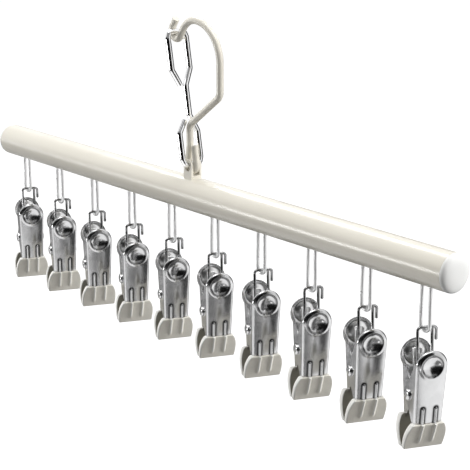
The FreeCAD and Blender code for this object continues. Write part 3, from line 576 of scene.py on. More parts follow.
@dataclass
class PressedLeg:
    """Leg of a clip, pressed from sheet: dished handle, rolled edge, flanges, ears and ribs.

    Its own frame has the rivet along Y and its outer face towards +X. Heights are above the rivet.
    """

    depth: float = 9.0 * MM
    gauge: float = 0.8 * MM
    rise: float = 25.0 * MM
    head_radius: float = 8.0 * MM
    head_start: float = math.radians(88.5)
    foot_width: float = 14.2 * MM
    drop: float = 12.0 * MM
    rear_inset: float = 1.1 * MM
    edge_roll: float = 1.2 * MM
    least_half_face: float = 0.02 * MM
    crown: float = 0.45 * MM
    crown_reach: float = 6.5 * MM
    # Thumb dish with its raised lip
    dish_radius: float = 5.3 * MM
    dish_depth: float = 2.0 * MM
    dish_fullness: float = 0.8
    dish_drop: float = 7.6 * MM
    dish_lip: float = 0.28 * MM
    dish_lip_width: float = 0.55 * MM
    # Ribs, and the painted shade at their feet and round the dish
    rib_place: float = 3.3 * MM
    rib_half_width: float = 1.3 * MM
    rib_edge: float = 1.25 * MM
    rib_height: float = 1.0 * MM
    rib_length: float = 9.0 * MM
    crease_inset: float = 0.2 * MM
    crease_width: float = 0.58 * MM
    dish_painted_shade: float = 0.7
    # Tongue inside the grip, bent inwards
    tongue: float = 2.4 * MM
    tongue_slope: float = math.tan(math.radians(18))
    # Heights along the flange, and how far it reaches back from the outer face there
    flange: tuple[Span, ...] = (
        (-14.4 * MM, 1.6 * MM), (-12.0 * MM, 4.0 * MM), (-4.6 * MM, 9.6 * MM), (-2.6 * MM, 12.3 * MM),
        (0.0, 13.2 * MM), (2.6 * MM, 12.3 * MM), (4.6 * MM, 9.9 * MM), (20.5 * MM, 1.75 * MM))
    # Rows of the skin: on the head, down to each height of the body, and on the tongue
    head_steps: int = 30
    body_steps: tuple[tuple[float, int], ...] = ((-1.8 * MM, 28), (-5.0 * MM, 16), (-12.0 * MM, 16))
    tongue_steps: int = 4
    face_columns: int = 53
    roll_columns: int = 5
    flange_columns: int = 6

    @property
    def head_height(self) -> float:
        """Middle of the round head above the rivet."""
        return self.rise - self.head_radius

    def half_width(self, side: Side, height: float) -> float:
        """Measure the leg below the middle of its head.

        Args:
            side: Which leg of the clip it is.
            height: Where to measure it.

        Returns:
            Half its width.
        """
        inset = self.rear_inset if side is Side.REAR else 0.0
        below = self.head_height - height
        share = clamp(below / (self.head_height + self.drop))
        straight = self.head_radius - inset + share * (self.foot_width / 2 - self.head_radius)
        return max(straight, math.sqrt(max(self.head_radius ** 2 - below ** 2, 0.0)))

    def outline(self, side: Side) -> list[Station]:
        """Trace the right half of the leg's outline from the top down.

        Args:
            side: Which leg of the clip it is.

        Returns:
            Places across and up, each with the outward direction across and up.
        """
        places = []
        for step in range(self.head_steps):
            angle = self.head_start * (1 - step / self.head_steps)
            places.append((self.head_radius * math.cos(angle),
                           self.head_height + self.head_radius * math.sin(angle)))
        high = self.head_height
        places.append((self.half_width(side, high), high))
        for low, steps in self.body_steps:
            places += [(self.half_width(side, height), height) for height in spread(high, low, steps + 1)[1:]]
            high = low
        foot = self.half_width(side, -self.drop)
        tip = -self.drop - self.tongue
        places += [(foot, height) for height in spread(-self.drop, tip, self.tongue_steps + 1)[1:]]
        outline = []
        for number, (across, height) in enumerate(places):
            before = places[max(number - 1, 0)]
            after = places[min(number + 1, len(places) - 1)]
            run = Vector((after[0] - before[0], after[1] - before[1])).normalized()
            outline.append((across, height, -run.y, run.x))
        return outline

    def from_dish(self, across: float, height: float) -> float:
        """Distance of a place from the middle of the thumb dish."""
        return math.hypot(across, height - (self.rise - self.dish_drop))

    def beyond_rib(self, across: float, height: float) -> float:
        """Measure how far a place lies outside the foot of the nearer rib, which has a round nose.

        Args:
            across: Place across the leg.
            height: Place above the rivet.

        Returns:
            The distance, negative on the rib.
        """
        nose = self.rib_length - self.drop - self.rib_half_width
        off = abs(abs(across) - self.rib_place)
        return math.hypot(off, max(height - nose, 0.0)) - self.rib_half_width

    def crease_shade(self, across: float, height: float) -> float:
        """Judge the painted shade along the foot of a rib and round the dish.

        Args:
            across: Place across the leg.
            height: Place above the rivet.

        Returns:
            The painted shade, from 0 to 1.
        """
        off_rib = (self.beyond_rib(across, height) + self.crease_inset) / self.crease_width
        off_dish = (self.from_dish(across, height) - self.dish_radius) / self.crease_width
        return max(math.exp(-off_rib * off_rib), self.dish_painted_shade * math.exp(-off_dish * off_dish))

    def edge_distance(self, side: Side, across: float, height: float) -> float:
        """Measure how far a place on the face is from the rolled edge.

        Args:
            side: Which leg of the clip it is.
            across: Place across the leg.
            height: Place above the rivet.

        Returns:
            The distance, 0 on the roll.
        """
        if height > self.head_height:
            reach = self.head_radius - math.hypot(across, height - self.head_height)
        else:
            reach = self.half_width(side, height) - abs(across)
        return max(reach - self.edge_roll, 0.0)

    def relief(self, side: Side, across: float, height: float) -> float:
        """Press the face: crown, thumb dish with its lip, and ribs.

        Args:
            side: Which leg of the clip it is.
            across: Place across the leg.
            height: Place above the rivet.

        Returns:
            The height of the face above its flat plane.
        """
        fall = clamp(1 - self.edge_distance(side, across, height) / self.crown_reach)
        relief = -self.crown * fall * fall
        from_dish = self.from_dish(across, height)
        lip = (from_dish - self.dish_radius - self.dish_lip_width) / self.dish_lip_width
        relief += self.dish_lip * math.exp(-lip * lip)
        if from_dish < self.dish_radius:
            relief -= self.dish_depth * (1 - (from_dish / self.dish_radius) ** 2) ** self.dish_fullness
        beyond = self.beyond_rib(across, height)
        return relief + self.rib_height * (1 - smooth_step(-self.rib_edge, 0.0, beyond))

    def row(self, side: Side, station: Station) -> list[Point]:
        """Lay one row of the skin, from one flange across the face to the other.

        Args:
            side: Which leg of the clip it is.
            station: Place on the outline with its outward direction.

        Returns:
            The points of the row.
        """
        across, height, out_y, out_z = station
        inner_y = max(across - self.edge_roll * out_y, self.least_half_face)
        inner_z = height - self.edge_roll * out_z
        plane = self.depth - max(-self.drop - height, 0.0) * self.tongue_slope
        rolled = self.crown + self.edge_roll
        half = []
        for share in spread(1.0, 0.0, self.flange_columns + 1)[:-1]:
            fallen = rolled + share * (along(self.flange, height) - rolled)
            half.append((plane - fallen, across, height))
        for angle in spread(math.radians(90), 0.0, self.roll_columns + 1)[:-1]:
            out = self.edge_roll * math.sin(angle)
            fallen = rolled - self.edge_roll * math.cos(angle)
            half.append((plane - fallen, inner_y + out * out_y, inner_z + out * out_z))
        face = [(plane + self.relief(side, y, inner_z), y, inner_z)
                for y in spread(-inner_y, inner_y, self.face_columns)]
        left = [(x, -y, z) for x, y, z in half]
        return left + face + half[::-1]

    def mesh(self, side: Side, finishes: Finishes) -> bpy.types.Mesh:
        """Build one leg as a closed sheet, bright outside and satin inside.

        Args:
            side: Which leg of the clip it is.
            finishes: Materials of the hanger.

        Returns:
            The mesh.
        """
        draft = MeshDraft()
        top = draft.add_grid([self.row(side, station) for station in self.outline(side)])[0]
        for here in range(len(top) // 2):
            draft.faces.append((top[here], top[here + 1], top[-here - 2], top[-here - 1]))
        # Each point keeps how much painted crease shade it takes
        draft.marks = [self.crease_shade(y, z) for _, y, z in draft.points]
        skin = draft.mesh(f"{side.value}_leg_sheet")
        skin.materials.append(finishes.sheet)
        skin.materials.append(finishes.inside)
        return thickened(skin, self.gauge)


@dataclass
class MouldedGrip:
    """Rubber grip moulded over the end of a leg, with two ridges that fade out."""

    top: float = -12.0 * MM
    height: float = 14.7 * MM
    width: float = 20.8 * MM
    face_top: float = 9.9 * MM
    face_slope: float = math.tan(math.radians(18))
    top_thickness: float = 3.6 * MM
    jaw_tip: float = 2.15 * MM
    edge_round: float = 0.6 * MM
    rounds_in_thickness: float = 2.2
    ridge_place: float = 3.3 * MM
    ridge_half_width: float = 1.3 * MM
    ridge_height: float = 1.2 * MM
    ridge_length: float = 12.5 * MM
    ridge_fade_start: float = 0.72
    end_inset: float = 0.3 * MM
    end_ridge: float = 0.6
    # Share of the ridge height over which crests take the painted-light side colour
    lit_crest: Span = (0.3, 0.9)
    face_columns: int = 61
    side_columns: int = 5
    stations: int = 34
    round_stations: int = 5
    # Shares of the height from the top, and shares of the width there
    outline: tuple[Span, ...] = (
        (0.0, 0.77), (0.1, 0.85), (0.25, 0.935), (0.42, 0.985), (0.6, 1.0), (0.8, 0.995), (1.0, 0.965))

    def half_width(self, share: float) -> float:
        """Measure the smooth outline.

        Args:
            share: Share of the height from the top.

        Returns:
            Half the width there.
        """
        places, widths = zip(*self.outline)
        last = len(places) - 1
        upper = next((number for number in range(1, last + 1) if share <= places[number]), last)
        low = upper - 1
        before, after = max(low - 1, 0), min(upper + 1, last)
        run = places[upper] - places[low]
        slope_low = (widths[upper] - widths[before]) / (places[upper] - places[before]) * run
        slope_high = (widths[after] - widths[low]) / (places[after] - places[low]) * run
        part = (share - places[low]) / run
        square, cube = part ** 2, part ** 3
        reach = ((2 * cube - 3 * square + 1) * widths[low] + (cube - 2 * square + part) * slope_low
                 + (3 * square - 2 * cube) * widths[upper] + (cube - square) * slope_high)
        return reach * self.width / 2

    def ridge(self, across: float, down: float) -> float:
        """Raise the two ridges.

        Args:
            across: Place across the grip.
            down: Distance below its top.

        Returns:
            Their height above the outer face.
        """
        off = abs(abs(across) - self.ridge_place) / self.ridge_half_width
        if off >= 1:
            return 0.0
        fade = 1 - smooth_step(self.ridge_fade_start * self.ridge_length, self.ridge_length, down)
        return self.ridge_height * fade * (0.5 + 0.5 * math.cos(math.pi * off))

    def section(self, share: float, inset: float) -> list[Point]:
        """Lay one closed section with rounded corners.

        Args:
            share: Share of the height from the top.
            inset: How far the section is pulled in all round.

        Returns:
            Its points: outer face, right side, lining and left side.
        """
        down = share * self.height
        height = self.top - down
        front = self.face_top - down * self.face_slope - inset
        back = (self.face_top - self.top_thickness) * (1 - share) + self.jaw_tip * share + inset
        radius = min(self.edge_round, (front - back) / self.rounds_in_thickness)
        edge = self.half_width(share) - inset - radius
        raised = 1.0 if inset < self.end_inset else self.end_ridge

        def corner(middle_x: float, middle_y: float, start: float) -> list[Point]:
            """Quarter round from a direction in degrees, without its first point."""
            angles = spread(math.radians(start), math.radians(start + 90), self.side_columns + 1)[1:]
            return [(middle_x + radius * math.cos(angle), middle_y + radius * math.sin(angle), height)
                    for angle in angles]

        columns = spread(-edge, edge, self.face_columns)
        face = [(front + self.ridge(y, down) * raised, y, height) for y in columns]
        shaded_lining = [(back, y, height) for y in columns[-2::-1]]
        right = corner(front - radius, edge, 0.0) + corner(back + radius, edge, 90.0)
        left = corner(back + radius, -edge, 180.0) + corner(front - radius, -edge, 270.0)
        return face + right + shaded_lining + left[:-1]

    def zones(self, section: list[Point]) -> list[float]:
        """Sort the points of a section into zones, with ridge crests painted as lit like the sides.

        Args:
            section: Points of the section.

        Returns:
            A mark for each point.
        """
        start, end = GripZone.FACE.value, GripZone.RIM.value
        face = []
        for _, across, height in section[:self.face_columns]:
            crest = self.ridge(across, self.top - height) / self.ridge_height
            face.append(start + (end - start) * smooth_step(*self.lit_crest, crest))
        # Sides take the painted-light colour, the jaw face the painted shade
        lit_rim = [GripZone.RIM.value] * (2 * self.side_columns - 1)
        shaded_lining = [GripZone.LINING.value] * self.face_columns
        return face + lit_rim + shaded_lining + lit_rim

    def close(self, draft: MeshDraft, ring: list[int], upward: bool) -> None:
        """Fill an end ring with faces between its front and back rows.

        Args:
            draft: Mesh in the making.
            ring: Numbers of the ring's points, in order.
            upward: Whether the end faces up.
        """
        opposite = 2 * self.face_columns + 2 * self.side_columns - 2
        for here in range(-self.side_columns, self.face_columns + self.side_columns - 1):
            places = (here, here + 1, opposite - here - 1, opposite - here)
            corners = list(dict.fromkeys(ring[place % len(ring)] for place in places))
            draft.faces.append(tuple(corners if upward else corners[::-1]))

    def mesh(self) -> bpy.types.Mesh:
        """Build the closed grip with rounded ends.

        Returns:
            The mesh, with a mark for each zone.
        """
        round_share = self.edge_round / self.height
        end = [(round_share * (1 - math.cos(angle)), self.edge_round * (1 - math.sin(angle)))
               for angle in spread(0.0, math.radians(90), self.round_stations)]
        middle = [(share, 0.0) for share in spread(round_share, 1 - round_share, self.stations)[1:-1]]
        levels = end + middle + [(1 - share, inset) for share, inset in end[::-1]]
        rows = [self.section(share, inset) for share, inset in levels]
        draft = MeshDraft()
        numbers = draft.add_grid(rows, wrap=True)
        self.close(draft, numbers[0], True)
        self.close(draft, numbers[-1], False)
        draft.marks = [mark for row in rows for mark in self.zones(row)]
        return draft.mesh("moulded_grip")


@dataclass
class DomedCap:
    """Cap on the end of the tube, turned about X: a straight lip, a round shoulder and a low dome."""

    radius: float = 9.5 * MM
    lip: float = 0.8 * MM
    lip_straight: float = 0.6 * MM
    groove: float = 0.16 * MM
    rise: float = 3.0 * MM
    fullness: float = 2.5
    crown_angle: float = math.radians(89.5)
    plug_radius: float = 8.1 * MM
    plug_length: float = 6.0 * MM
    rings: int = 26
    segments: int = 96
    sharp_edge: float = math.radians(35)

    def profile(self) -> list[Span]:
        """Trace the cap from the end of its plug to its crown.

        Returns:
            Places along the axis, each with a radius.
        """
        places = [(-self.plug_length, self.plug_radius), (0.0, self.plug_radius),
                  (0.0, self.radius - self.groove), (self.groove, self.radius),
                  (self.lip_straight, self.radius)]
        for angle in spread(0.0, self.crown_angle, self.rings)[1:]:
            out = self.radius * math.cos(angle) ** (2 / self.fullness)
            up = math.sin(angle) ** (2 / self.fullness)
            places.append((self.lip_straight + (self.rise + self.lip - self.lip_straight) * up, out))
        return places

    def mesh(self) -> bpy.types.Mesh:
        """Build the closed cap with its seam at the origin and its crown towards +X.

        Returns:
            The mesh.
        """
        angles = [-angle for angle in full_turn(self.segments)]
        draft = MeshDraft()
        draft.add_rings([[(x, r * math.cos(a), r * math.sin(a)) for a in angles] for x, r in self.profile()])
        return draft.mesh("domed_cap", self.sharp_edge)


@dataclass
class BentWire:
    """Round wire that runs straight between bends, with softened ends."""

    radius: float
    sides: int = 20
    bend_steps: int = 8
    end_angles: tuple[float, ...] = (35.0, 62.0, 82.0)
    end_bulge: float = 0.4

    def path(self, corners: list[Vector], bends: list[float]) -> list[Vector]:
        """Lay the middle line of the wire.

        Args:
            corners: Where its straight runs would meet, with both ends.
            bends: Bend radius at each inner corner.

        Returns:
            Points along the straight runs and round the bends.
        """
        points = [corners[0]]
        for before, corner, after, bend in zip(corners, corners[1:], corners[2:], bends):
            come = (corner - before).normalized()
            leave = (after - corner).normalized()
            turn = come.angle(leave)
            start = corner - come * (bend * math.tan(turn / 2))
            centre = corner + (leave - come).normalized() * (bend / math.cos(turn / 2))
            for share in spread(0.0, 1.0, self.bend_steps + 1):
                points.append(centre + Quaternion(come.cross(leave), turn * share) @ (start - centre))
        return points + [corners[-1]]

    def ring(self, place: Vector, course: Vector, normal: Vector, angle: float, way: int) -> list[Point]:
        """Lay one ring round the middle line.

        Args:
            place: Point of the middle line.
            course: Direction of the wire there.
            normal: Direction across the wire where the ring starts.
            angle: How far the ring is drawn in towards an end, in degrees.
            way: 1 towards the last end, -1 towards the first.

        Returns:
            The points of the ring.
        """
        out = self.radius * math.cos(math.radians(angle))
        middle = place + course * (way * self.end_bulge * self.radius * math.sin(math.radians(angle)))
        side = course.cross(normal)
        return [tuple(middle + (normal * math.cos(turn) - side * math.sin(turn)) * out)
                for turn in full_turn(self.sides)]

    def add(self, draft: MeshDraft, path: list[Vector]) -> None:
        """Add a closed tube along a middle line.

        Args:
            draft: Mesh in the making.
            path: Points of the middle line.
        """
        ends = [path[0], *path, path[-1]]
        courses = [(after - before).normalized() for before, after in zip(ends, ends[2:])]
        before = courses[0]
        normal = before.orthogonal().normalized()
        rings = [self.ring(path[0], before, normal, angle, -1) for angle in self.end_angles[::-1]]
        for place, course in zip(path, courses):
            normal = before.rotation_difference(course) @ normal
            rings.append(self.ring(place, course, normal, 0.0, 1))
            before = course
        rings += [self.ring(path[-1], before, normal, angle, 1) for angle in self.end_angles]
        draft.add_rings(rings)


@dataclass
class PivotSet:
    """Bail, rivet and spring of a clip, about the rivet along Y."""

    wire: float = 1.5 * MM
    rise: float = 32.8 * MM
    half_width: float = 3.7 * MM
    tail_offset: float = 2.2 * MM
    tail_drop: float = 6.5 * MM
    bend: float = 1.8 * MM
    toe: float = 1.0 * MM
    wire_edge: float = math.radians(50)
    rivet_radius: float = 1.5 * MM
    rivet_fit: float = 0.05 * MM
    rivet_half: float = 7.61 * MM
    rivet_segments: int = 40
    # Rivet head: a straight rim, then a dome up to its last angle
    head_radius: float = 2.8 * MM
    head_height: float = 1.2 * MM
    head_rim: float = 0.3
    head_angle: float = math.radians(88)
    head_rise: float = 0.9
    head_fullness: float = 0.6
    head_steps: int = 9
    spring_wire: float = 0.9 * MM
    spring_sides: int = 12
    spring_radius: float = 2.4 * MM
    spring_step: float = 1.4 * MM
    spring_turns: int = 3
    turn_steps: int = 28
    arm_reach: float = 6.0 * MM
    arm_rise: float = 6.0 * MM
    loop_half_width: float = 2.45 * MM
    loop_reach: float = 6.15 * MM
    loop_rise: float = 20.2 * MM
    loop_bend: float = 1.0 * MM

    def bail(self) -> bpy.types.Mesh:
        """Build the bail, hooked under the rivet on both sides, with one end turned down.

        Returns:
            The mesh.
        """
        foot = self.rivet_radius + self.wire / 2 + self.rivet_fit
        front = foot * math.tan((math.pi / 2 + math.asin(foot / self.rise)) / 2)
        tail = self.half_width + self.tail_offset

        def leg(across: float) -> list[Vector]:
            """Corners of one leg of the wire, from the top bar to the toe behind the rivet."""
            places = ((0.0, self.rise), (front, -foot), (-foot, -foot), (-foot, self.toe))
            return [Vector((out, across, up)) for out, up in places]

        end = [Vector((0.0, tail, self.rise - self.tail_drop)), Vector((0.0, tail, self.rise))]
        wire = BentWire(self.wire / 2)
        draft = MeshDraft()
        wire.add(draft, wire.path(end + leg(-self.half_width), [self.bend, self.bend, foot, foot]))
        wire.add(draft, wire.path(leg(self.half_width), [foot, foot]))
        return draft.mesh("bail_wire", self.wire_edge)

    def rivet(self) -> bpy.types.Mesh:
        """Build the rivet with a low round head at each end.

        Returns:
            The mesh.
        """
        half = [(self.rivet_half, self.rivet_radius), (self.rivet_half, self.head_radius),
                (self.rivet_half + self.head_rim * self.head_height, self.head_radius)]
        for angle in spread(0.0, self.head_angle, self.head_steps)[1:]:
            up = self.head_rim + (1 - self.head_rim) * math.sin(angle) ** self.head_rise
            half.append((self.rivet_half + self.head_height * up,
                         self.head_radius * math.cos(angle) ** self.head_fullness))
        profile = [(-across, radius) for across, radius in half[::-1]] + half
        angles = full_turn(self.rivet_segments)
        draft = MeshDraft()
        draft.add_rings([[(r * math.cos(a), y, r * math.sin(a)) for a in angles] for y, r in profile])
        return draft.mesh("rivet_turned")

    def spring(self) -> bpy.types.Mesh:
        """Build the coils round the rivet, with an arm towards the front handle.

        Returns:
            The mesh.
        """
        span = math.hypot(self.arm_reach, self.arm_rise)
        first = math.atan2(self.arm_rise, self.arm_reach) + math.acos(self.spring_radius / span)
        last = math.pi - first + 2 * math.pi * self.spring_turns
        middle = (first + last) / 2
        climb = self.spring_step / (2 * math.pi)
        arm = math.sqrt(span ** 2 - self.spring_radius ** 2)
        coil = [Vector((self.spring_radius * math.cos(angle), climb * (angle - middle),
                        self.spring_radius * math.sin(angle)))
                for angle in spread(first, last, self.turn_steps * self.spring_turns)]
        course = Vector((-self.spring_radius * math.sin(first), climb,
                         self.spring_radius * math.cos(first))).normalized()
        draft = MeshDraft()
        BentWire(self.spring_wire / 2, self.spring_sides).add(draft, [coil[0] - course * arm] + coil)
        return draft.mesh("torsion_spring", self.wire_edge)

    def spring_loop(self) -> bpy.types.Mesh:
        """Build the loop of the spring that presses on the rear handle, in the frame of that leg.

        Returns:
            The mesh.
        """
        span = math.hypot(self.loop_reach, self.loop_rise)
        leave = math.atan2(self.loop_rise, self.loop_reach) - math.acos(self.spring_radius / span)
        foot = (self.spring_radius * math.cos(leave), self.spring_radius * math.sin(leave))
        top = (self.loop_reach, self.loop_rise)
        half = self.loop_half_width
        corners = [Vector((out, across, up))
                   for (out, up), across in ((foot, half), (top, half), (top, -half), (foot, -half))]
        wire = BentWire(self.spring_wire / 2, self.spring_sides)
        draft = MeshDraft()
        wire.add(draft, wire.path(corners, [self.loop_bend, self.loop_bend]))
        return draft.mesh("spring_loop", self.wire_edge)


# Pieces of the hanger

@dataclass
class Assembly:
    """Pieces of the hanger that are built and dressed together."""

    frame: dict
    finishes: Finishes

    def dress(self, name: str, material: bpy.types.Material) -> bpy.types.Object:
        """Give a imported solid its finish.

        Args:
            name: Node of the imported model.
            material: Its finish.

        Returns:
            The solid.
        """
        solid = self.frame["nodes"][name]
        solid.data.materials.clear()
        solid.data.materials.append(material)
        return solid

    @staticmethod
    def coat(mesh: bpy.types.Mesh, material: bpy.types.Material) -> bpy.types.Mesh:
        """Give a mesh its finish, and hand it back."""
        mesh.materials.append(material)
        return mesh

    def add(self, name: str, mesh: bpy.types.Mesh, matrix: Matrix, body: str, slot: Slot,
            node: str | None) -> bpy.types.Object:
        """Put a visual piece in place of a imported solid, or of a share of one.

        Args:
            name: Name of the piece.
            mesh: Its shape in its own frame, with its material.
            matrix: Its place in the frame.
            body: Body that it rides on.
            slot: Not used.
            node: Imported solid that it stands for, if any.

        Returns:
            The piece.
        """
        turned = mesh.copy()
        turned.transform(matrix.to_3x3().to_4x4())
        piece = bpy.data.objects.new(name, turned)
        bpy.context.scene.collection.objects.link(piece)
        piece.matrix_world = Matrix.Translation(matrix.translation)
        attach(piece, body)
        if node:
            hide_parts(node)
        return piece


@dataclass
class HookAndLatch(Assembly):
    """Coated hook and lug with the chrome latch between them."""

    lug_edge: float = 0.3 * MM
    edge_steps: int = 3
    edge_angle: float = math.radians(35)

    def build(self) -> list[bpy.types.Object]:
        """Dress the wires and the lug with what holds it.

        Returns:
            The pieces.
        """
        finishes = self.finishes
        hook = self.dress("hook", finishes.coating)
        lug = self.dress("hook_lug", finishes.coating)
        self.soften(lug)
        latch = self.dress("wind_latch", finishes.wire)
        return [hook, lug, latch] + [self.dress(name, finishes.plated) for name in ("lug_washer", "lug_nut")]

    def soften(self, solid: bpy.types.Object) -> None:
        """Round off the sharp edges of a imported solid.

        Args:
            solid: The solid.
        """
        bevel = solid.modifiers.new("soft_edges", "BEVEL")
        bevel.width = self.lug_edge
        bevel.segments = self.edge_steps
        bevel.limit_method = "ANGLE"
        bevel.angle_limit = self.edge_angle
        bevel.harden_normals = True


@dataclass
class TubeAndLoops(Assembly):
    """Coated tube with its caps and hanging loops."""

    cap: DomedCap = field(default_factory=DomedCap)

    def build(self) -> list[bpy.types.Object]:
        """Dress the tube and loops, and put turned caps on both ends.

        Returns:
            The pieces.
        """
        pieces = [self.dress("tube", self.finishes.coating), self.dress("hanging_loops", self.finishes.loop)]
        low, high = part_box("tube")
        axis_height = (low.z + high.z) / 2
        mesh = self.coat(self.cap.mesh(), self.finishes.cap)
        half_turn = Matrix.Rotation(math.pi, 4, "Z")
        for name, end, turn in (("left", low.x, half_turn), ("right", high.x, Matrix.Identity(4))):
            place = Matrix.Translation((end, 0.0, axis_height)) @ turn
            pieces.append(self.add(f"domed_cap_{name}", mesh, place, "tube", Slot.CAP, f"end_cap_{name}"))
        return pieces


@dataclass
class ClipSet(Assembly):
    """Ten clips with pressed legs and moulded grips."""

    count: int = 10
    lean: float = math.radians(4.5)
    leg: PressedLeg = field(default_factory=PressedLeg)
    grip: MouldedGrip = field(default_factory=MouldedGrip)
    pivot: PivotSet = field(default_factory=PivotSet)

    def build(self) -> list[bpy.types.Object]:
        """Place the pivot set, two legs and two grips of each clip.

        Returns:
            The pieces.
        """
        finishes, pivot = self.finishes, self.pivot
        legs = {side: self.leg.mesh(side, finishes) for side in Side}
        grip = self.coat(self.grip.mesh(), finishes.rubber)
        loop = self.coat(pivot.spring_loop(), finishes.loop)
        middles = (("bail", self.coat(pivot.bail(), finishes.bail), Slot.WIRE),
                   ("rivet", self.coat(pivot.rivet(), finishes.sheet), Slot.SHEET),
                   ("spring", self.coat(pivot.spring(), finishes.plated), Slot.PLATED))
        pieces = []
        for number in range(1, self.count + 1):
            clip = f"clip_{number:02d}"
            middle = self.place(f"{clip}_front_jaw", Side.FRONT, 0.0)
            for name, mesh, slot in middles:
                pieces.append(self.add(f"{clip}_{name}", mesh, middle, clip, slot, f"{clip}_pivot"))
            for side in Side:
                half = f"{clip}_{side.value}"
                place = self.place(f"{half}_jaw", side, self.lean)
                pieces.append(self.add(f"{half}_panel", legs[side], place, half, Slot.SHEET, f"{half}_leg"))
                pieces.append(self.add(f"{half}_pad", grip, place, half, Slot.RUBBER, f"{half}_grip"))
                if side is Side.REAR:
                    pieces.append(self.add(f"{clip}_spring_loop", loop, place, half, Slot.PLATED, None))
        return pieces

    def place(self, jaw_name: str, side: Side, lean: float) -> Matrix:
        """Find the place of a leg's own frame, from the joint on its rivet.

        Args:
            jaw_name: Joint that the leg turns on.
            side: Which leg of the clip it is.
            lean: How far the leg leans out at its top.

        Returns:
            The matrix, with the rivet along the leg's Y.
        """
        jaw = next(joint for joint in self.frame["joints"] if joint["name"] == jaw_name)
        axis = Vector(jaw["axis"])
        along_rivet = -axis if side is Side.FRONT else axis
        yaw = Matrix.Rotation(-math.atan2(along_rivet.x, along_rivet.y), 4, "Z")
        turn = Matrix.Rotation(0.0 if side is Side.FRONT else math.pi, 4, "Z")
        return Matrix.Translation(jaw["pos_m"]) @ yaw @ turn @ Matrix.Rotation(lean, 4, "Y")


# Studio

@dataclass(frozen=True)
class SoftBox:
    """Area light aimed at the hanger, which may show in reflections."""

    name: str
    place: Point
    size: Span
    power: float
    shows: bool = True


@dataclass(frozen=True)
class Card:
    """Dark, grey or bright card that only shows in reflections."""

    name: str
    place: Point
    faces: Point
    width: float
    height: float
    glow: float


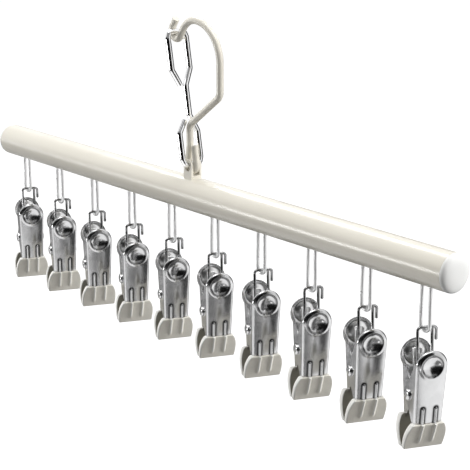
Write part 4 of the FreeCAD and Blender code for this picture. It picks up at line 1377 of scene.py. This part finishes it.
@dataclass
class Studio:
    """White studio, its light and the camera of the photograph."""

    target: Point = (0.03651, 0.0, -0.11006)
    azimuth: float = math.radians(49.97)
    elevation: float = math.radians(16.03)
    distance: float = 0.73397
    lens: float = 104.247
    sensor: float = 36.0
    clip_start: float = 0.01
    floor_height: float = -0.42
    floor_size: float = 12.0
    floor_tones: Span = (0.19, 0.21)
    floor_grain: float = 3.0
    floor_roughness: float = 0.9
    floor_glow: float = 0.92
    sky_light: float = 0.22
    card_tones: Span = (1.0, 0.85)
    card_grain: float = 4.0
    boxes: tuple[SoftBox, ...] = (
        SoftBox("top_box", (0.15, -0.10, 1.25), (1.3, 1.0), 16.0),
        SoftBox("right_box", (1.05, 0.85, 0.30), (0.8, 0.8), 18.0, shows=False),
        SoftBox("edge_box", (-1.55, -0.42, 0.12), (1.0, 0.8), 18.0, shows=False),
        SoftBox("ridge_box", (-1.30, 0.40, 1.00), (0.45, 0.30), 4.0, shows=False),
        SoftBox("side_strip", (-0.95, -0.93, -0.20), (0.10, 0.55), 3.5, shows=False),
    )
    # Each card has a place, a point that it faces, a width, a height and a glow
    cards: tuple[Card, ...] = (
        Card("ridge_card", (-1.05, 0.40, 1.00), (-1.05, 0.0, -0.09), 0.85, 0.36, 9.0),
        Card("side_card", (-1.15, -0.93, -0.20), (-1.15, 0.0, -0.20), 1.45, 0.22, 10.0),
        Card("front_flag", (-0.20, -0.95, 0.04), (-0.20, 0.0, 0.04), 1.0, 0.92, 0.008),
        Card("camera_flag", (0.66, -0.44, -0.04), (0.0, 0.0, -0.04), 1.25, 0.76, 0.008),
        Card("high_front_flag", (-0.20, -0.95, 0.86), (-0.20, 0.0, 0.86), 1.0, 0.70, 0.28),
        Card("high_camera_flag", (0.66, -0.44, 0.70), (0.0, 0.0, 0.70), 1.25, 0.70, 0.28),
        Card("low_row_flag", (0.454, -0.1825, -0.405), (0.454, -0.1825, 0.0), 0.248, 0.235, 0.22),
        Card("row_glint", (0.455, -0.29, -0.404), (0.455, -0.29, 0.0), 0.11, 0.09, 2.5),
        Card("far_left_flag", (-1.15, -1.0, -0.06), (-1.15, 0.0, -0.06), 0.9, 0.72, 0.20),
        Card("left_flag", (-1.0, 0.0, -0.235), (0.0, 0.0, -0.235), 2.0, 0.37, 0.25),
        Card("back_flag", (0.0, 1.0, -0.06), (0.0, 0.0, -0.06), 2.0, 0.72, 0.05),
        Card("low_back_flag", (-0.15, 0.62, -0.41), (-0.15, 0.62, 0.0), 0.80, 1.15, 0.10),
        Card("low_left_flag", (-0.85, -0.25, -0.412), (-0.85, -0.25, 0.0), 1.0, 1.4, 0.45),
        Card("low_right_flag", (0.65, -0.45, -0.41), (0.65, -0.45, 0.0), 0.70, 0.66, 0.45),
    )

    def build(self) -> None:
        """Set up everything but the hanger."""
        bpy.context.scene.view_settings.view_transform = "Standard"
        self.add_world()
        self.add_floor()
        for box in self.boxes:
            self.add_box(box)
        for card in self.cards:
            self.add_card(card)
        self.add_camera()

    @staticmethod
    def aim(place: Vector, target: Point) -> Matrix:
        """Matrix of something at a place that looks along its -Z at a target."""
        look = (Vector(target) - place).to_track_quat("-Z", "Y")
        return Matrix.Translation(place) @ look.to_matrix().to_4x4()

    @staticmethod
    def seen_directly(tree: bpy.types.NodeTree) -> Socket:
        """Tell the rays that see the white surroundings from those that they light.

        Args:
            tree: Node tree to add to.

        Returns:
            The socket with 1 for camera, glossy and transmission rays, 0 for others.
        """
        rays = tree.nodes.new("ShaderNodeLightPath")
        total = rays.outputs["Is Camera Ray"]
        for kind in ("Is Glossy Ray", "Is Transmission Ray"):
            either = tree.nodes.new("ShaderNodeMath")
            either.operation = "MAXIMUM"
            tree.links.new(total, either.inputs[0])
            tree.links.new(rays.outputs[kind], either.inputs[1])
            total = either.outputs["Value"]
        return total

    def add_world(self) -> None:
        """White surroundings that light the hanger softly."""
        world = bpy.data.worlds.new("studio")
        world.use_nodes = True
        bpy.context.scene.world = world
        tree = world.node_tree
        soft = tree.nodes["Background"]
        white = tree.nodes.new("ShaderNodeBackground")
        for ground, strength in ((soft, self.sky_light), (white, 1.0)):
            ground.inputs["Color"].default_value = (*grey(1.0), 1.0)
            ground.inputs["Strength"].default_value = strength
        mix = tree.nodes.new("ShaderNodeMixShader")
        tree.links.new(self.seen_directly(tree), mix.inputs["Fac"])
        tree.links.new(soft.outputs["Background"], mix.inputs[1])
        tree.links.new(white.outputs["Background"], mix.inputs[2])
        tree.links.new(mix.outputs["Shader"], tree.nodes["World Output"].inputs["Surface"])

    @staticmethod
    def panel(name: str, width: float, height: float) -> bpy.types.Object:
        """Add a flat rectangle in its own XY plane that belongs to the stage.

        Args:
            name: Name of the rectangle.
            width: Its size along X.
            height: Its size along Y.

        Returns:
            The rectangle.
        """
        draft = MeshDraft()
        draft.add_grid([[(x, -height / 2, 0.0), (x, height / 2, 0.0)] for x in (-width / 2, width / 2)])
        panel = bpy.data.objects.new(name, draft.mesh(name))
        bpy.context.scene.collection.objects.link(panel)
        return panel

    def add_floor(self) -> None:
        """Pale floor far below the hanger that keeps its shadow."""
        floor = self.panel("floor", self.floor_size, self.floor_size)
        floor.location.z = self.floor_height
        sheet = ShaderSheet("floor_paper")
        low, high = self.floor_tones
        paper = sheet.ramp(sheet.noise(self.floor_grain), grey(low), grey(high))
        sheet.link(paper, sheet.shader.inputs["Base Color"])
        sheet.set_uniform(Roughness=self.floor_roughness)
        glow = sheet.node("ShaderNodeEmission", Strength=self.floor_glow)
        shown = sheet.node("ShaderNodeMixShader")
        sheet.link(self.seen_directly(sheet.tree), shown.inputs["Fac"])
        sheet.link(glow.outputs["Emission"], shown.inputs[2])
        both = sheet.node("ShaderNodeAddShader")
        sheet.link(sheet.shader.outputs["BSDF"], both.inputs[0])
        sheet.link(shown.outputs["Shader"], both.inputs[1])
        sheet.show(both.outputs["Shader"])
        floor.data.materials.append(sheet.material)

    def add_box(self, box: SoftBox) -> None:
        """Set up one soft box.

        Args:
            box: Its place, size and power.
        """
        light = bpy.data.lights.new(box.name, "AREA")
        light.shape = "RECTANGLE"
        light.size, light.size_y = box.size
        light.energy = box.power
        lamp = bpy.data.objects.new(box.name, light)
        bpy.context.scene.collection.objects.link(lamp)
        lamp.matrix_world = self.aim(Vector(box.place), self.target)
        lamp.visible_glossy = box.shows

    def add_card(self, card: Card) -> None:
        """Set up one card, which gives the chrome and the coating their bands.

        Args:
            card: Its place, size and glow.
        """
        panel = self.panel(card.name, card.width, card.height)
        panel.matrix_world = self.aim(Vector(card.place), card.faces)
        for rays in ("camera", "diffuse", "shadow", "transmission", "volume_scatter"):
            setattr(panel, f"visible_{rays}", False)
        sheet = ShaderSheet(card.name)
        low, high = self.card_tones
        shown = sheet.node("ShaderNodeEmission", Strength=card.glow)
        sheet.link(sheet.ramp(sheet.noise(self.card_grain), grey(low), grey(high)), shown.inputs["Color"])
        sheet.show(shown.outputs["Emission"])
        panel.data.materials.append(sheet.material)

    def add_camera(self) -> None:
        """Camera from where the photograph was taken."""
        level = math.cos(self.elevation)
        back = Vector((math.sin(self.azimuth) * level, -math.cos(self.azimuth) * level,
                       math.sin(self.elevation)))
        lens = bpy.data.cameras.new("camera")
        lens.lens = self.lens
        lens.sensor_width = self.sensor
        lens.clip_start = self.clip_start
        camera = bpy.data.objects.new("camera", lens)
        bpy.context.scene.collection.objects.link(camera)
        camera.matrix_world = self.aim(Vector(self.target) + back * self.distance, self.target)
        bpy.context.scene.camera = camera


def main() -> None:
    """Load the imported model, dress it, build the clips and set up the studio."""
    logging.basicConfig(level=logging.INFO, format="%(name)s: %(message)s")
    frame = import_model()
    finishes = Finishes()
    for assembly in (HookAndLatch(frame, finishes), TubeAndLoops(frame, finishes), ClipSet(frame, finishes)):
        for piece in assembly.build():
            log.info("%s: %s, %d faces", type(assembly).__name__, piece.name, len(piece.data.polygons))
    Studio().build()
    bpy.context.view_layer.update()


if __name__ == "__main__":
    main()
